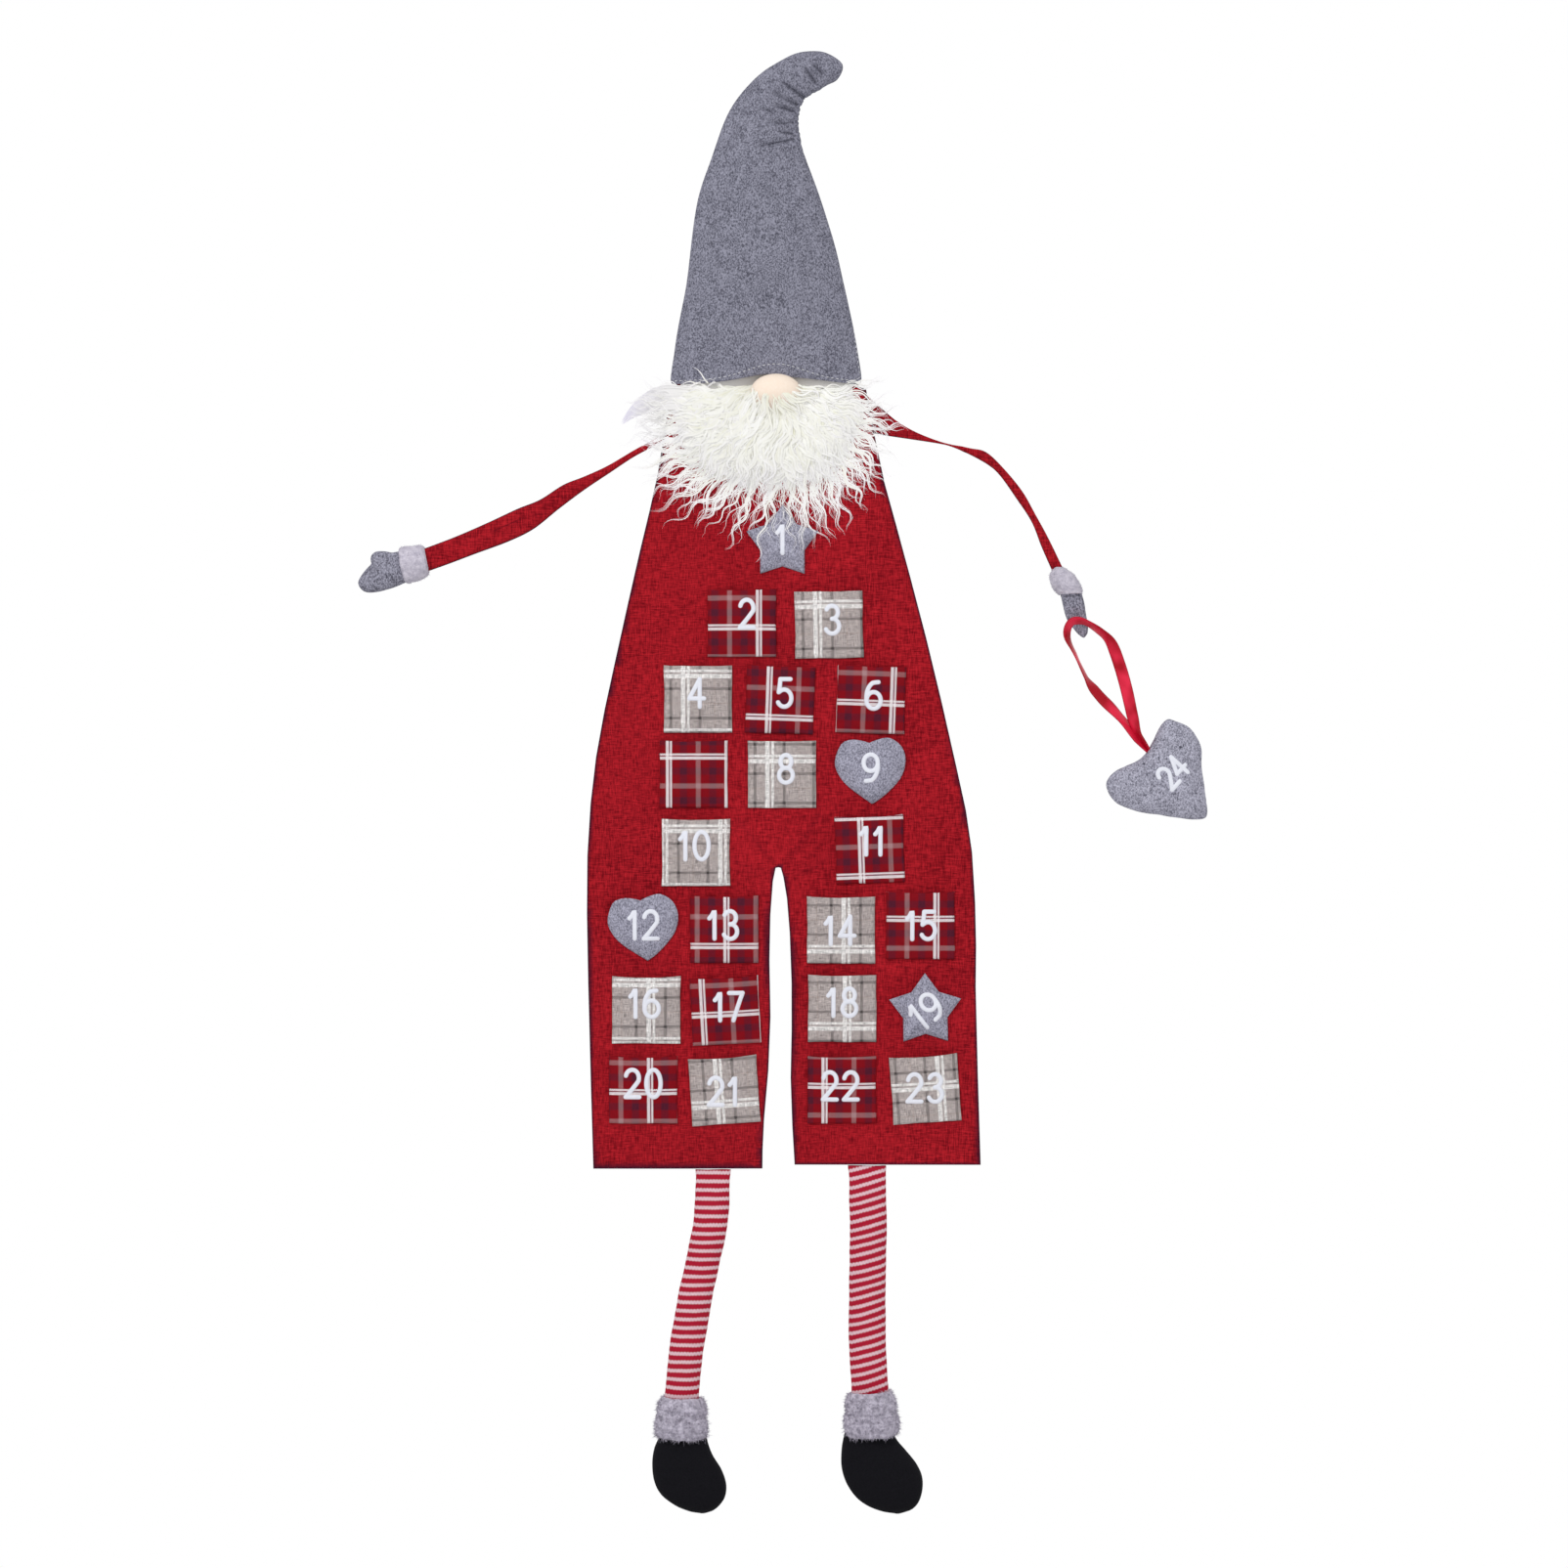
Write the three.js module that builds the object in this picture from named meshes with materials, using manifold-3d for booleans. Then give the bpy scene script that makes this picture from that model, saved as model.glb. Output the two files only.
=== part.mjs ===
// Hanging fabric advent calendar shaped as a gnome in long trousers, in millimetres.
// The front looks along -Y, +Z is up, and the origin is where a nail bears in the hanging loop.
// Left and right are the viewer's, and the body's shares run right and down from its shoulder line.
import * as THREE from "three";
import { mergeVertices } from "three/addons/utils/BufferGeometryUtils.js";
import Module from "manifold-3d";

const wasm = await Module();
wasm.setup();

// Running gap between pieces that lie against each other, and the overrun of a cut
const clearance = 0.3;
const overrun = 5;
const weldShare = 0.001;
const leastMitreShare = 0.5;

// Cloth
const clothThickness = 1.2;
const liningThickness = 1.6;
const feltThickness = 2;
const waddingGap = 1.5;
const seamAllowance = 6;

// Body: trousers and bib in one flat panel, below the shoulder line
const bodyWidth = 322;
const bodyHeight = 641;
const leftEdgeShares = [
  [-0.284, 0.005],
  [-0.316, 0.112],
  [-0.361, 0.21],
  [-0.425, 0.353],
  [-0.473, 0.474],
  [-0.495, 0.6],
  [-0.493, 0.762],
  [-0.48, 1],
];
const slitShares = [
  [-0.05, 1],
  [-0.047, 0.946],
  [-0.03, 0.834],
  [-0.032, 0.709],
  [-0.022, 0.627],
  [-0.009, 0.615],
  [0.002, 0.624],
  [0.017, 0.678],
  [0.025, 0.787],
  [0.022, 0.896],
  [0.032, 0.995],
];
const rightEdgeShares = [
  [0.505, 0.995],
  [0.493, 0.787],
  [0.493, 0.69],
  [0.48, 0.581],
  [0.443, 0.486],
  [0.376, 0.341],
  [0.308, 0.21],
  [0.254, 0.11],
  [0.214, 0.005],
];
const edgeSteps = 14;
const slitSteps = 18;

// Hat: felt cone whose tip curls to the right, width and height of its outline
const hatWidth = 158;
const hatHeight = 273;
const hatOffset = -13;
const hatPuff = 13;
const hatDrop = 218;
const hatLeftShares = [
  [-0.5, 0],
  [-0.444, 0.196],
  [-0.399, 0.334],
  [-0.359, 0.537],
  [-0.268, 0.692],
  [-0.187, 0.827],
  [-0.045, 0.924],
  [0.066, 0.968],
  [0.177, 0.997],
  [0.308, 0.997],
];
const hatRightShares = [
  [0.5, 0],
  [0.439, 0.196],
  [0.384, 0.34],
  [0.293, 0.537],
  [0.177, 0.713],
  [0.157, 0.827],
  [0.202, 0.871],
  [0.258, 0.891],
  [0.308, 0.909],
  [0.364, 0.924],
];
const hatTipShare = [0.409, 0.962];
const hatRows = 20;
const hatColumns = 8;
const neckRise = 24;
const archHeight = 13;
const archWidth = 66;

// Hanging loop of tape behind the hat
const tapeWidth = 6;
const tapeThickness = 1.2;
const loopWidth = 12;
const loopHeight = 26;
const loopFootHeight = 8;

// Nose and beard
const noseWidth = 42;
const noseHeight = 29;
const noseDepth = 26;
const noseOffset = 8;
const noseTuck = 4;
const beardWidth = 196;
const beardDrop = 104;
const beardPuff = 26;
const beardMiddleShare = 0.4;
const beardShares = [
  [-0.34, 0.01],
  [-0.48, 0.1],
  [-0.5, 0.3],
  [-0.46, 0.52],
  [-0.4, 0.72],
  [-0.3, 0.86],
  [-0.19, 0.93],
  [-0.08, 0.96],
  [0.04, 0.92],
  [0.16, 0.97],
  [0.28, 0.92],
  [0.38, 0.78],
  [0.45, 0.56],
  [0.5, 0.32],
  [0.47, 0.1],
  [0.36, 0.01],
];
const backingDrop = 78;
const backingShares = [
  [-0.93, 0],
  [-1, -0.3],
  [-0.95, -0.6],
  [-0.7, -0.86],
  [-0.3, -0.98],
  [0, -1],
  [0.3, -0.98],
  [0.7, -0.86],
  [0.95, -0.6],
  [1, -0.3],
  [0.93, 0],
];

// Pockets
const pocketWidth = 56;
const pocketHeight = 55;
const pocketDepth = 8;
const pocketColumns = 8;
const pocketRows = 3;
const ringShares = [0.35, 0.7, 1];
const domeShare = 0.8;
const starRadius = 31;
const starWaistShare = 0.615;
const starOpenShare = -0.1;
const heartPocketWidth = 58;
const heartPocketHeight = 54;
const heartOpenShare = -0.05;
const heartPocketShares = [
  [-0.014, 0.424],
  [-0.124, 0.46],
  [-0.275, 0.472],
  [-0.412, 0.403],
  [-0.5, 0.149],
  [-0.453, -0.045],
  [-0.33, -0.216],
  [-0.151, -0.366],
  [0.027, -0.5],
  [0.165, -0.403],
  [0.33, -0.239],
  [0.453, -0.06],
  [0.5, 0.164],
  [0.44, 0.373],
  [0.275, 0.5],
  [0.11, 0.478],
];
const pocketPlaces = [
  { day: 1, shape: "star", share: [0.001, 0.201], turn: 0 },
  { day: 2, shape: "red", share: [-0.102, 0.303], turn: 0 },
  { day: 3, shape: "beige", share: [0.119, 0.305], turn: 0 },
  { day: 4, shape: "beige", share: [-0.214, 0.4], turn: 0 },
  { day: 5, shape: "red", share: [-0.005, 0.401], turn: 0 },
  { day: 6, shape: "red", share: [0.226, 0.401], turn: 0 },
  { day: 7, shape: "red", share: [-0.225, 0.496], turn: 0 },
  { day: 8, shape: "beige", share: [0, 0.496], turn: 0 },
  { day: 9, shape: "heart", share: [0.224, 0.492], turn: 0 },
  { day: 10, shape: "beige", share: [-0.219, 0.596], turn: 0 },
  { day: 11, shape: "red", share: [0.223, 0.592], turn: 2 },
  { day: 12, shape: "heart", share: [-0.352, 0.6925], turn: 4 },
  { day: 13, shape: "red", share: [-0.147, 0.694], turn: 0 },
  { day: 14, shape: "beige", share: [0.15, 0.695], turn: 0 },
  { day: 15, shape: "red", share: [0.352, 0.689], turn: 0 },
  { day: 16, shape: "beige", share: [-0.345, 0.797], turn: 0 },
  { day: 17, shape: "red", share: [-0.144, 0.798], turn: 3 },
  { day: 18, shape: "beige", share: [0.153, 0.795], turn: 0 },
  { day: 19, shape: "star", share: [0.364, 0.798], turn: 1 },
  { day: 20, shape: "red", share: [-0.353, 0.899], turn: 0 },
  { day: 21, shape: "beige", share: [-0.147, 0.9], turn: 4 },
  { day: 22, shape: "red", share: [0.152, 0.899], turn: 0 },
  { day: 23, shape: "beige", share: [0.364, 0.898], turn: 4 },
];

// Sleeves: width shares of the half width in the calendar's plane, depth shares across it
const rootDegrees = [80, 50, 20];
const limbSides = 12;
const sleeveSteps = 16;
const leftArm = {
  side: -1,
  span: 198,
  edgeShare: 0.069,
  rootRadius: 3.6,
  halfWidth: 11.6,
  halfDepth: 4,
  routeShares: [
    [0.045, -0.02],
    [0.14, -0.08],
    [0.3, -0.18],
    [0.4, -0.225],
    [0.51, -0.32],
    [0.66, -0.38],
    [0.85, -0.465],
    [0.95, -0.5],
    [1, -0.52],
  ],
  widthShares: [0.276, 0.345, 0.517, 0.724, 1, 0.931, 0.81, 0.793, 0.776],
  depthShares: [0.5, 0.5, 0.6, 0.7, 0.8, 0.85, 0.9, 1, 1],
};
const rightArm = {
  side: 1,
  span: 205,
  edgeShare: 0.05,
  rootRadius: 7,
  halfWidth: 8.4,
  halfDepth: 8.8,
  routeShares: [
    [0.1, -0.045],
    [0.18, -0.08],
    [0.25, -0.098],
    [0.37, -0.13],
    [0.45, -0.19],
    [0.52, -0.27],
    [0.57, -0.35],
    [0.61, -0.43],
    [0.66, -0.53],
    [0.7, -0.625],
  ],
  widthShares: [0.714, 0.476, 0.286, 0.31, 0.524, 0.619, 0.571, 0.5, 0.476, 1],
  depthShares: [0.227, 0.227, 0.273, 0.409, 0.568, 0.727, 0.818, 0.864, 0.864, 1],
};

// Plush cuffs, mittens, boots
const cuffSides = 16;
const cuffShiftShare = 0.1;
const cuffShares = [
  [-0.5, 0],
  [-0.5, 0.45],
  [-0.36, 0.85],
  [0, 1],
  [0.36, 0.85],
  [0.5, 0.45],
  [0.5, 0],
];
const armCuffLength = 21;
const armCuffWall = 4.5;
const mittenLength = 52;
const mittenWidth = 34;
const mittenPuff = 9;
const wristShare = 0.2;
const wristWidthShare = 0.26;
const mittenMiddleShare = 0.32;
const palmShare = 0.7;
const leftMittenShares = [
  [-0.14, 0.2],
  [0.04, 0.22],
  [0.2, 0.34],
  [0.4, 0.42],
  [0.6, 0.52],
  [0.76, 0.5],
  [0.8, 0.3],
  [0.74, 0.16],
  [0.94, 0.08],
  [1, -0.14],
  [0.94, -0.38],
  [0.72, -0.5],
  [0.4, -0.42],
  [0.2, -0.36],
  [0.04, -0.22],
  [-0.14, -0.2],
];
const rightMittenShares = [
  [-0.22, 0.14],
  [0.1, 0.28],
  [0.4, 0.36],
  [0.72, 0.32],
  [0.96, 0.2],
  [1, 0],
  [0.92, -0.2],
  [0.66, -0.34],
  [0.36, -0.36],
  [0.1, -0.28],
  [-0.22, -0.14],
];
const bootCuffLength = 34;
const bootCuffWall = 7.5;
const bootWidth = 66;
const bootHeight = 82;
const bootPuff = 16;
const bootMiddleShare = 0.7;
const bootShares = [
  [-0.17, -0.02],
  [-0.17, -0.285],
  [-0.37, -0.37],
  [-0.45, -0.48],
  [-0.39, -0.68],
  [-0.2, -0.85],
  [0, -0.94],
  [0.18, -0.99],
  [0.38, -0.93],
  [0.5, -0.72],
  [0.47, -0.56],
  [0.34, -0.4],
  [0.25, -0.38],
  [0.17, -0.285],
  [0.17, -0.02],
];

// Legs: stuffed knit tubes sewn into the hems
const legLength = 197;
const legHalfWidth = 13.2;
const legHalfDepth = 12;
const legTopHalfDepth = 3;
const legSides = 14;
const legSteps = 10;
const leftLeg = {
  placeShare: -0.177,
  hemShare: 1,
  routeShares: [
    [0, 0],
    [-0.01, -0.22],
    [-0.045, -0.42],
    [-0.08, -0.64],
    [-0.1, -0.84],
    [-0.108, -1],
  ],
};
const rightLeg = {
  placeShare: 0.216,
  hemShare: 0.995,
  routeShares: [
    [0, 0],
    [0.004, -0.22],
    [0.002, -0.42],
    [0, -0.64],
    [0.006, -0.84],
    [0.014, -1],
  ],
};

// Stuffed heart on its ribbon
const heartWidth = 85;
const heartPuff = 13;
const heartMiddleShare = [0.13, -0.21];
const heartShares = [
  [0, 0],
  [-0.094, -0.094],
  [-0.31, -0.18],
  [-0.415, -0.31],
  [-0.396, -0.406],
  [-0.27, -0.547],
  [0.12, -0.63],
  [0.54, -0.68],
  [0.594, -0.63],
  [0.53, -0.21],
  [0.52, 0.066],
  [0.415, 0.226],
  [0.264, 0.3],
  [0.198, 0.32],
  [0.12, 0.245],
  [0.057, 0.12],
];
const ribbonWidth = 10;
const ribbonThickness = 1;
const ribbonReach = 120;
const ribbonEndWidth = 3;
const ribbonPalmShare = 0.95;
const ribbonSettleShare = 0.8;
const rightStrandShares = [
  [-0.07, 0.96],
  [-0.02, 0.975],
  [0.06, 0.955],
  [0.16, 0.89],
  [0.24, 0.81],
  [0.3, 0.66],
  [0.347, 0.5],
  [0.39, 0.31],
  [0.43, 0.18],
  [0.493, 0.083],
];
const leftStrandShares = [
  [0.07, 0.95],
  [0, 0.975],
  [-0.05, 0.94],
  [-0.05, 0.84],
  [0, 0.74],
  [0.047, 0.64],
  [0.1, 0.54],
  [0.18, 0.44],
  [0.28, 0.34],
  [0.38, 0.23],
  [0.493, 0.083],
];

// Heights and depths that follow from the sizes above
const shoulderZ = -hatDrop;
const stackDepth = 2 * clothThickness + liningThickness + 2 * clearance;

const at = (x, y, z) => new THREE.Vector3(x, y, z);
const radians = THREE.MathUtils.degToRad;

// A point of the body from its share of the width and height
const bodyPoint = ([x, z]) => new THREE.Vector2(x * bodyWidth, shoulderZ - z * bodyHeight);

function smoothLine(points, steps) {
  return new THREE.SplineCurve(points).getPoints(steps);
}

function smoothRing(points, steps) {
  const ring = points.map((p) => at(p.x, 0, p.y));
  const curve = new THREE.CatmullRomCurve3(ring, true, "centripetal");
  return curve.getPoints(steps).slice(0, -1).map((p) => new THREE.Vector2(p.x, p.z));
}

// Centre, half width and cross direction of the hat at a share of the way to its tip
const hatLeft = new THREE.SplineCurve(hatLeftShares.map(hatPoint));
const hatRight = new THREE.SplineCurve(hatRightShares.map(hatPoint));

function hatPoint([x, z]) {
  return new THREE.Vector2(hatOffset + x * hatWidth, shoulderZ + z * hatHeight);
}

function hatSection(share) {
  const left = hatLeft.getPoint(share);
  const right = hatRight.getPoint(share);
  const half = left.distanceTo(right) / 2;
  return {
    centre: left.clone().add(right).multiplyScalar(0.5),
    across: right.clone().sub(left).normalize(),
    half,
    puff: hatPuff * Math.sqrt((2 * half) / hatWidth),
  };
}

// Share of the way up the hat's edges at a height above the brim, near the brim
function hatShare(height) {
  return height / (hatHeight * hatLeftShares[1][1] * (hatLeftShares.length - 1));
}

// Half width that fits inside the hat at a given half depth
function widthInsideHat(section, halfDepth) {
  const facetShare = Math.cos(Math.PI / (2 * hatColumns));
  const rise = Math.min((halfDepth + clearance) / (section.puff * facetShare), 1);
  return section.half * facetShare * Math.sqrt(1 - rise * rise) - clearance;
}

// The hat's felt stands this far behind the seam plane where the loop is sewn
function hatBackAt(x, z) {
  let nearest = hatSection(0);
  for (let i = 1; i <= hatRows; i += 1) {
    const section = hatSection(i / hatRows);
    if (Math.abs(section.centre.y - z) < Math.abs(nearest.centre.y - z)) nearest = section;
  }
  const share = Math.min(Math.abs(x - nearest.centre.x) / nearest.half, 1);
  return nearest.puff * Math.sqrt(1 - share * share) + feltThickness;
}

const loopFootZ = tapeThickness - loopHeight - loopFootHeight;
const seamY = -(hatBackAt(-loopWidth / 2, loopFootZ) + 2 * clearance + tapeWidth / 2);
const frontFaceY = seamY - stackDepth / 2;
const backFaceY = seamY + stackDepth / 2;
const backingFaceY = frontFaceY - clearance - clothThickness;

// Welds patches of three or four corners into one closed surface, without the shrunken ones
function closedSurface(patches) {
  const weld = clearance * weldShare;
  const numbers = new Map();
  const positions = [];
  const index = [];
  const numberOf = (p) => {
    const key = [p.x, p.y, p.z].map((c) => Math.round(c / weld)).join();
    if (!numbers.has(key)) {
      numbers.set(key, positions.length / 3);
      positions.push(p.x, p.y, p.z);
    }
    return numbers.get(key);
  };
  const addTriangle = (a, b, c) => {
    if (a !== b && b !== c && a !== c) index.push(a, b, c);
  };
  for (const patch of patches) {
    const n = patch.map(numberOf);
    addTriangle(n[0], n[1], n[2]);
    if (n.length === 4) addTriangle(n[0], n[2], n[3]);
  }
  const geometry = new THREE.BufferGeometry();
  geometry.setAttribute("position", new THREE.Float32BufferAttribute(positions, 3));
  geometry.setIndex(index);
  return facingOut(geometry);
}

// Turns a closed surface round when its faces point inwards
function facingOut(geometry) {
  const p = geometry.attributes.position;
  const index = geometry.index.array;
  const corners = [at(0, 0, 0), at(0, 0, 0), at(0, 0, 0)];
  let volume = 0;
  for (let i = 0; i < index.length; i += 3) {
    corners.forEach((corner, k) => corner.fromBufferAttribute(p, index[i + k]));
    volume += corners[0].dot(corners[1].clone().cross(corners[2]));
  }
  if (volume < 0) {
    for (let i = 0; i < index.length; i += 3) {
      [index[i + 1], index[i + 2]] = [index[i + 2], index[i + 1]];
    }
  }
  return geometry;
}

// The four-cornered patches of a grid of points
function gridPatches(rows) {
  const patches = [];
  for (let i = 0; i + 1 < rows.length; i += 1) {
    for (let j = 0; j + 1 < rows[i].length; j += 1) {
      patches.push([rows[i][j], rows[i][j + 1], rows[i + 1][j + 1], rows[i + 1][j]]);
    }
  }
  return patches;
}

// A sheet with two faces of equal grids, closed round its rim
function sheetSolid(outer, inner) {
  const border = (rows) => {
    const last = rows.length - 1;
    const end = rows[0].length - 1;
    return [
      ...rows[0],
      ...rows.slice(1).map((row) => row[end]),
      ...rows[last].slice(0, end).reverse(),
      ...rows.slice(0, last).reverse().map((row) => row[0]),
    ];
  };
  const rim = gridPatches([border(inner), border(outer)]);
  const back = gridPatches(inner).map((patch) => patch.slice().reverse());
  return closedSurface([...gridPatches(outer), ...back, ...rim]);
}

// A tube through rings of equal counts, closed by fans at both ends
function loftSolid(rings) {
  const closed = rings.map((ring) => [...ring, ring[0]]);
  const fan = (ring, turn) => {
    const middle = ring.reduce((sum, p) => sum.add(p), at(0, 0, 0)).divideScalar(ring.length);
    return ring.map((p, i) => {
      const next = ring[(i + 1) % ring.length];
      return turn ? [middle, next, p] : [middle, p, next];
    });
  };
  const ends = [...fan(rings[0], false), ...fan(rings[rings.length - 1], true)];
  return closedSurface([...gridPatches(closed).map((patch) => patch.slice().reverse()), ...ends]);
}

// A stuffed form: an outline that swells by its puff in front and behind
function pillowSolid(outline, centre, planeY, frontPuff, backPuff, ringCount) {
  const rings = [];
  const ringAt = (angle, puff) =>
    outline.map((p) => {
      const share = Math.sin(angle);
      const x = centre.x + (p.x - centre.x) * share;
      const z = centre.y + (p.y - centre.y) * share;
      return at(x, planeY + puff * Math.cos(angle), z);
    });
  const step = Math.PI / 2 / ringCount;
  for (let i = 1; i <= ringCount; i += 1) rings.push(ringAt(i * step, -frontPuff));
  for (let i = ringCount - 1; i > 0 && backPuff > 0; i -= 1) rings.push(ringAt(i * step, backPuff));
  const front = at(centre.x, planeY - frontPuff, centre.y);
  const back = at(centre.x, planeY + backPuff, centre.y);
  const closed = rings.map((ring) => [...ring, ring[0]]);
  const cap = (ring, point, turn) =>
    ring.map((p, i) => {
      const next = ring[(i + 1) % ring.length];
      return turn ? [point, next, p] : [point, p, next];
    });
  const ends = [...cap(rings[0], front, true), ...cap(rings[rings.length - 1], back, false)];
  return closedSurface([...gridPatches(closed), ...ends]);
}

// A flat plate from an outline in the XZ plane, its back at the given depth
function plate(outline, thickness, backY) {
  const geometry = new THREE.ExtrudeGeometry(new THREE.Shape(outline), {
    depth: thickness,
    bevelEnabled: false,
    steps: 1,
  });
  geometry.rotateX(Math.PI / 2);
  geometry.translate(0, backY, 0);
  return geometry;
}

// An outline moved inwards by a distance, each corner along its mitre
function inset(outline, distance) {
  const ring = THREE.ShapeUtils.isClockWise(outline) ? outline.slice().reverse() : outline;
  const count = ring.length;
  return ring.map((p, i) => {
    const before = p.clone().sub(ring[(i + count - 1) % count]).normalize();
    const after = ring[(i + 1) % count].clone().sub(p).normalize();
    const normal = new THREE.Vector2(-before.y - after.y, before.x + after.x).normalize();
    const stretch = Math.max(normal.x * -after.y + normal.y * after.x, leastMitreShare);
    return p.clone().add(normal.multiplyScalar(distance / stretch));
  });
}

function toManifold(geometry) {
  const bare = geometry.clone();
  bare.deleteAttribute("normal");
  bare.deleteAttribute("uv");
  const merged = mergeVertices(bare, clearance * weldShare);
  return new wasm.Manifold(
    new wasm.Mesh({
      numProp: 3,
      vertProperties: merged.attributes.position.array,
      triVerts: new Uint32Array(merged.index.array),
    }),
  );
}

function fromManifold(solid) {
  const mesh = solid.getMesh();
  const geometry = new THREE.BufferGeometry();
  geometry.setAttribute("position", new THREE.BufferAttribute(mesh.vertProperties, 3));
  geometry.setIndex(new THREE.BufferAttribute(mesh.triVerts, 1));
  return geometry;
}

const cut = (from, tool) => fromManifold(toManifold(from).subtract(toManifold(tool)));
const join = (first, second) => fromManifold(toManifold(first).add(toManifold(second)));

const group = new THREE.Group();

function finish(color, roughness) {
  return new THREE.MeshStandardMaterial({ color, roughness, metalness: 0 });
}

const finishes = {
  redLinen: finish(0xa81a26, 0.9),
  lining: finish(0xe6e2da, 0.95),
  greyFelt: finish(0x7b7d88, 0.95),
  wadding: finish(0xf2f0ea, 1),
  tape: finish(0x8a8c94, 0.8),
  skin: finish(0xf4d2b0, 0.8),
  fur: finish(0xf3efe0, 1),
  redPlaid: finish(0x8c1420, 0.9),
  beigePlaid: finish(0xb8aa9c, 0.9),
  plush: finish(0xb9b5c0, 1),
  stripedKnit: finish(0xc4646c, 0.95),
  blackFabric: finish(0x151518, 0.9),
  satin: finish(0xc01028, 0.4),
};

function add(name, geometry, material) {
  const mesh = new THREE.Mesh(geometry, finishes[material]);
  mesh.name = name;
  group.add(mesh);
  return mesh;
}

// Trouser-shaped outline from the neck, down the left edge, round the slit and up the right edge
function bodyOutline() {
  const shoulder = hatSection(0);
  const top = hatSection(hatShare(neckRise));
  const topHalf = widthInsideHat(top, stackDepth / 2);
  const rootHalf = widthInsideHat(shoulder, stackDepth / 2);
  return [
    new THREE.Vector2(top.centre.x + topHalf, top.centre.y),
    new THREE.Vector2(top.centre.x - topHalf, top.centre.y),
    new THREE.Vector2(shoulder.centre.x - rootHalf, shoulderZ - clearance),
    ...smoothLine(leftEdgeShares.map(bodyPoint), edgeSteps),
    ...smoothLine(slitShares.map(bodyPoint), slitSteps),
    ...smoothLine(rightEdgeShares.map(bodyPoint), edgeSteps),
    new THREE.Vector2(shoulder.centre.x + rootHalf, shoulderZ - clearance),
  ];
}

// Front cloth turned back round its edge, a stiff lining inside, and the back cloth that closes it
function makeBody() {
  const outline = bodyOutline();
  const block = plate(outline, stackDepth, backFaceY);
  const hollow = plate(
    inset(outline, clothThickness),
    stackDepth - clothThickness + overrun,
    backFaceY + overrun,
  );
  add("front_panel", cut(block, hollow), "redLinen");
  const liningBackY = backFaceY - clothThickness - clearance;
  add("interlining", plate(inset(outline, seamAllowance), liningThickness, liningBackY), "lining");
  const backOutline = inset(outline, clothThickness + clearance);
  add("back_panel", plate(backOutline, clothThickness, backFaceY), "redLinen");
}

// One face of the hat, side -1 in front and 1 behind, offset outwards from the wadding
function hatRowsOf(side, offset) {
  const seamHalf = clearance / 2;
  const noseX = hatOffset + noseOffset;
  const rows = [];
  for (let i = 0; i <= hatRows; i += 1) {
    const row = [];
    for (let j = 0; j <= hatColumns; j += 1) {
      const angle = Math.PI * (j / hatColumns - 0.5);
      const plain = hatSection(0);
      const fromNose = plain.centre.x + plain.half * Math.sin(angle) - noseX;
      const arch = side < 0 ? Math.exp(-(((2 * fromNose) / archWidth) ** 2)) : 0;
      const start = hatShare(arch * archHeight);
      const section = hatSection(start + (1 - start) * (i / hatRows));
      const reach = (section.half + offset) * Math.sin(angle);
      const depth = seamHalf + (section.puff + offset) * Math.cos(angle);
      const place = section.centre.clone().addScaledVector(section.across, reach);
      row.push(at(place.x, seamY + side * depth, place.y));
    }
    rows.push(row);
  }
  const tip = hatPoint(hatTipShare);
  const last = hatSection(1).across;
  tip.add(new THREE.Vector2(last.y, -last.x).multiplyScalar(-offset));
  rows.push(rows[0].map(() => at(tip.x, seamY + side * seamHalf, tip.y)));
  return rows;
}

// Wadding that fills the hat above the neck, from its front face round to its back face
function makeWadding() {
  const first = hatShare(neckRise + 2 * clearance);
  const steps = hatRows / 2;
  const rings = [];
  for (let i = 0; i <= steps; i += 1) {
    const section = hatSection(first + (1 - first) * (i / steps));
    const ring = [];
    for (let j = 0; j < 2 * hatColumns; j += 1) {
      const angle = (Math.PI * j) / hatColumns;
      const reach = (section.half - waddingGap) * Math.sin(angle);
      const depth = (section.puff - waddingGap) * Math.cos(angle);
      const place = section.centre.clone().addScaledVector(section.across, reach);
      ring.push(at(place.x, seamY - depth, place.y));
    }
    rings.push(ring);
  }
  add("hat_wadding", loftSolid(rings), "wadding");
}

function makeHat() {
  const [front, back] = [-1, 1].map((side) =>
    sheetSolid(hatRowsOf(side, feltThickness), hatRowsOf(side, 0)),
  );
  add("hat_front", cut(front, noseSolid(clearance)), "greyFelt");
  add("hat_back", back, "greyFelt");
  makeWadding();
}

// A tape loop that stands edge-on behind the hat, its two legs sewn down by a flat foot
function makeLoop() {
  const arc = (radius) => {
    const path = new THREE.Path();
    path.absarc(0, tapeThickness - loopWidth / 2, radius, 0, Math.PI, false);
    return path.getPoints(8);
  };
  const outerHalf = loopWidth / 2;
  const innerHalf = outerHalf - tapeThickness;
  const bottom = tapeThickness - loopHeight;
  const outline = [
    ...arc(outerHalf),
    new THREE.Vector2(-outerHalf, bottom),
    new THREE.Vector2(-innerHalf, bottom),
    ...arc(innerHalf).reverse(),
    new THREE.Vector2(innerHalf, bottom),
    new THREE.Vector2(outerHalf, bottom),
  ];
  const legs = plate(outline, tapeWidth, tapeWidth / 2);
  const foot = new THREE.BoxGeometry(loopWidth, tapeThickness, loopFootHeight + tapeThickness);
  foot.translate(0, (tapeThickness - tapeWidth) / 2, bottom - (loopFootHeight - tapeThickness) / 2);
  add("hang_loop", join(legs, foot), "tape");
}

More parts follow.
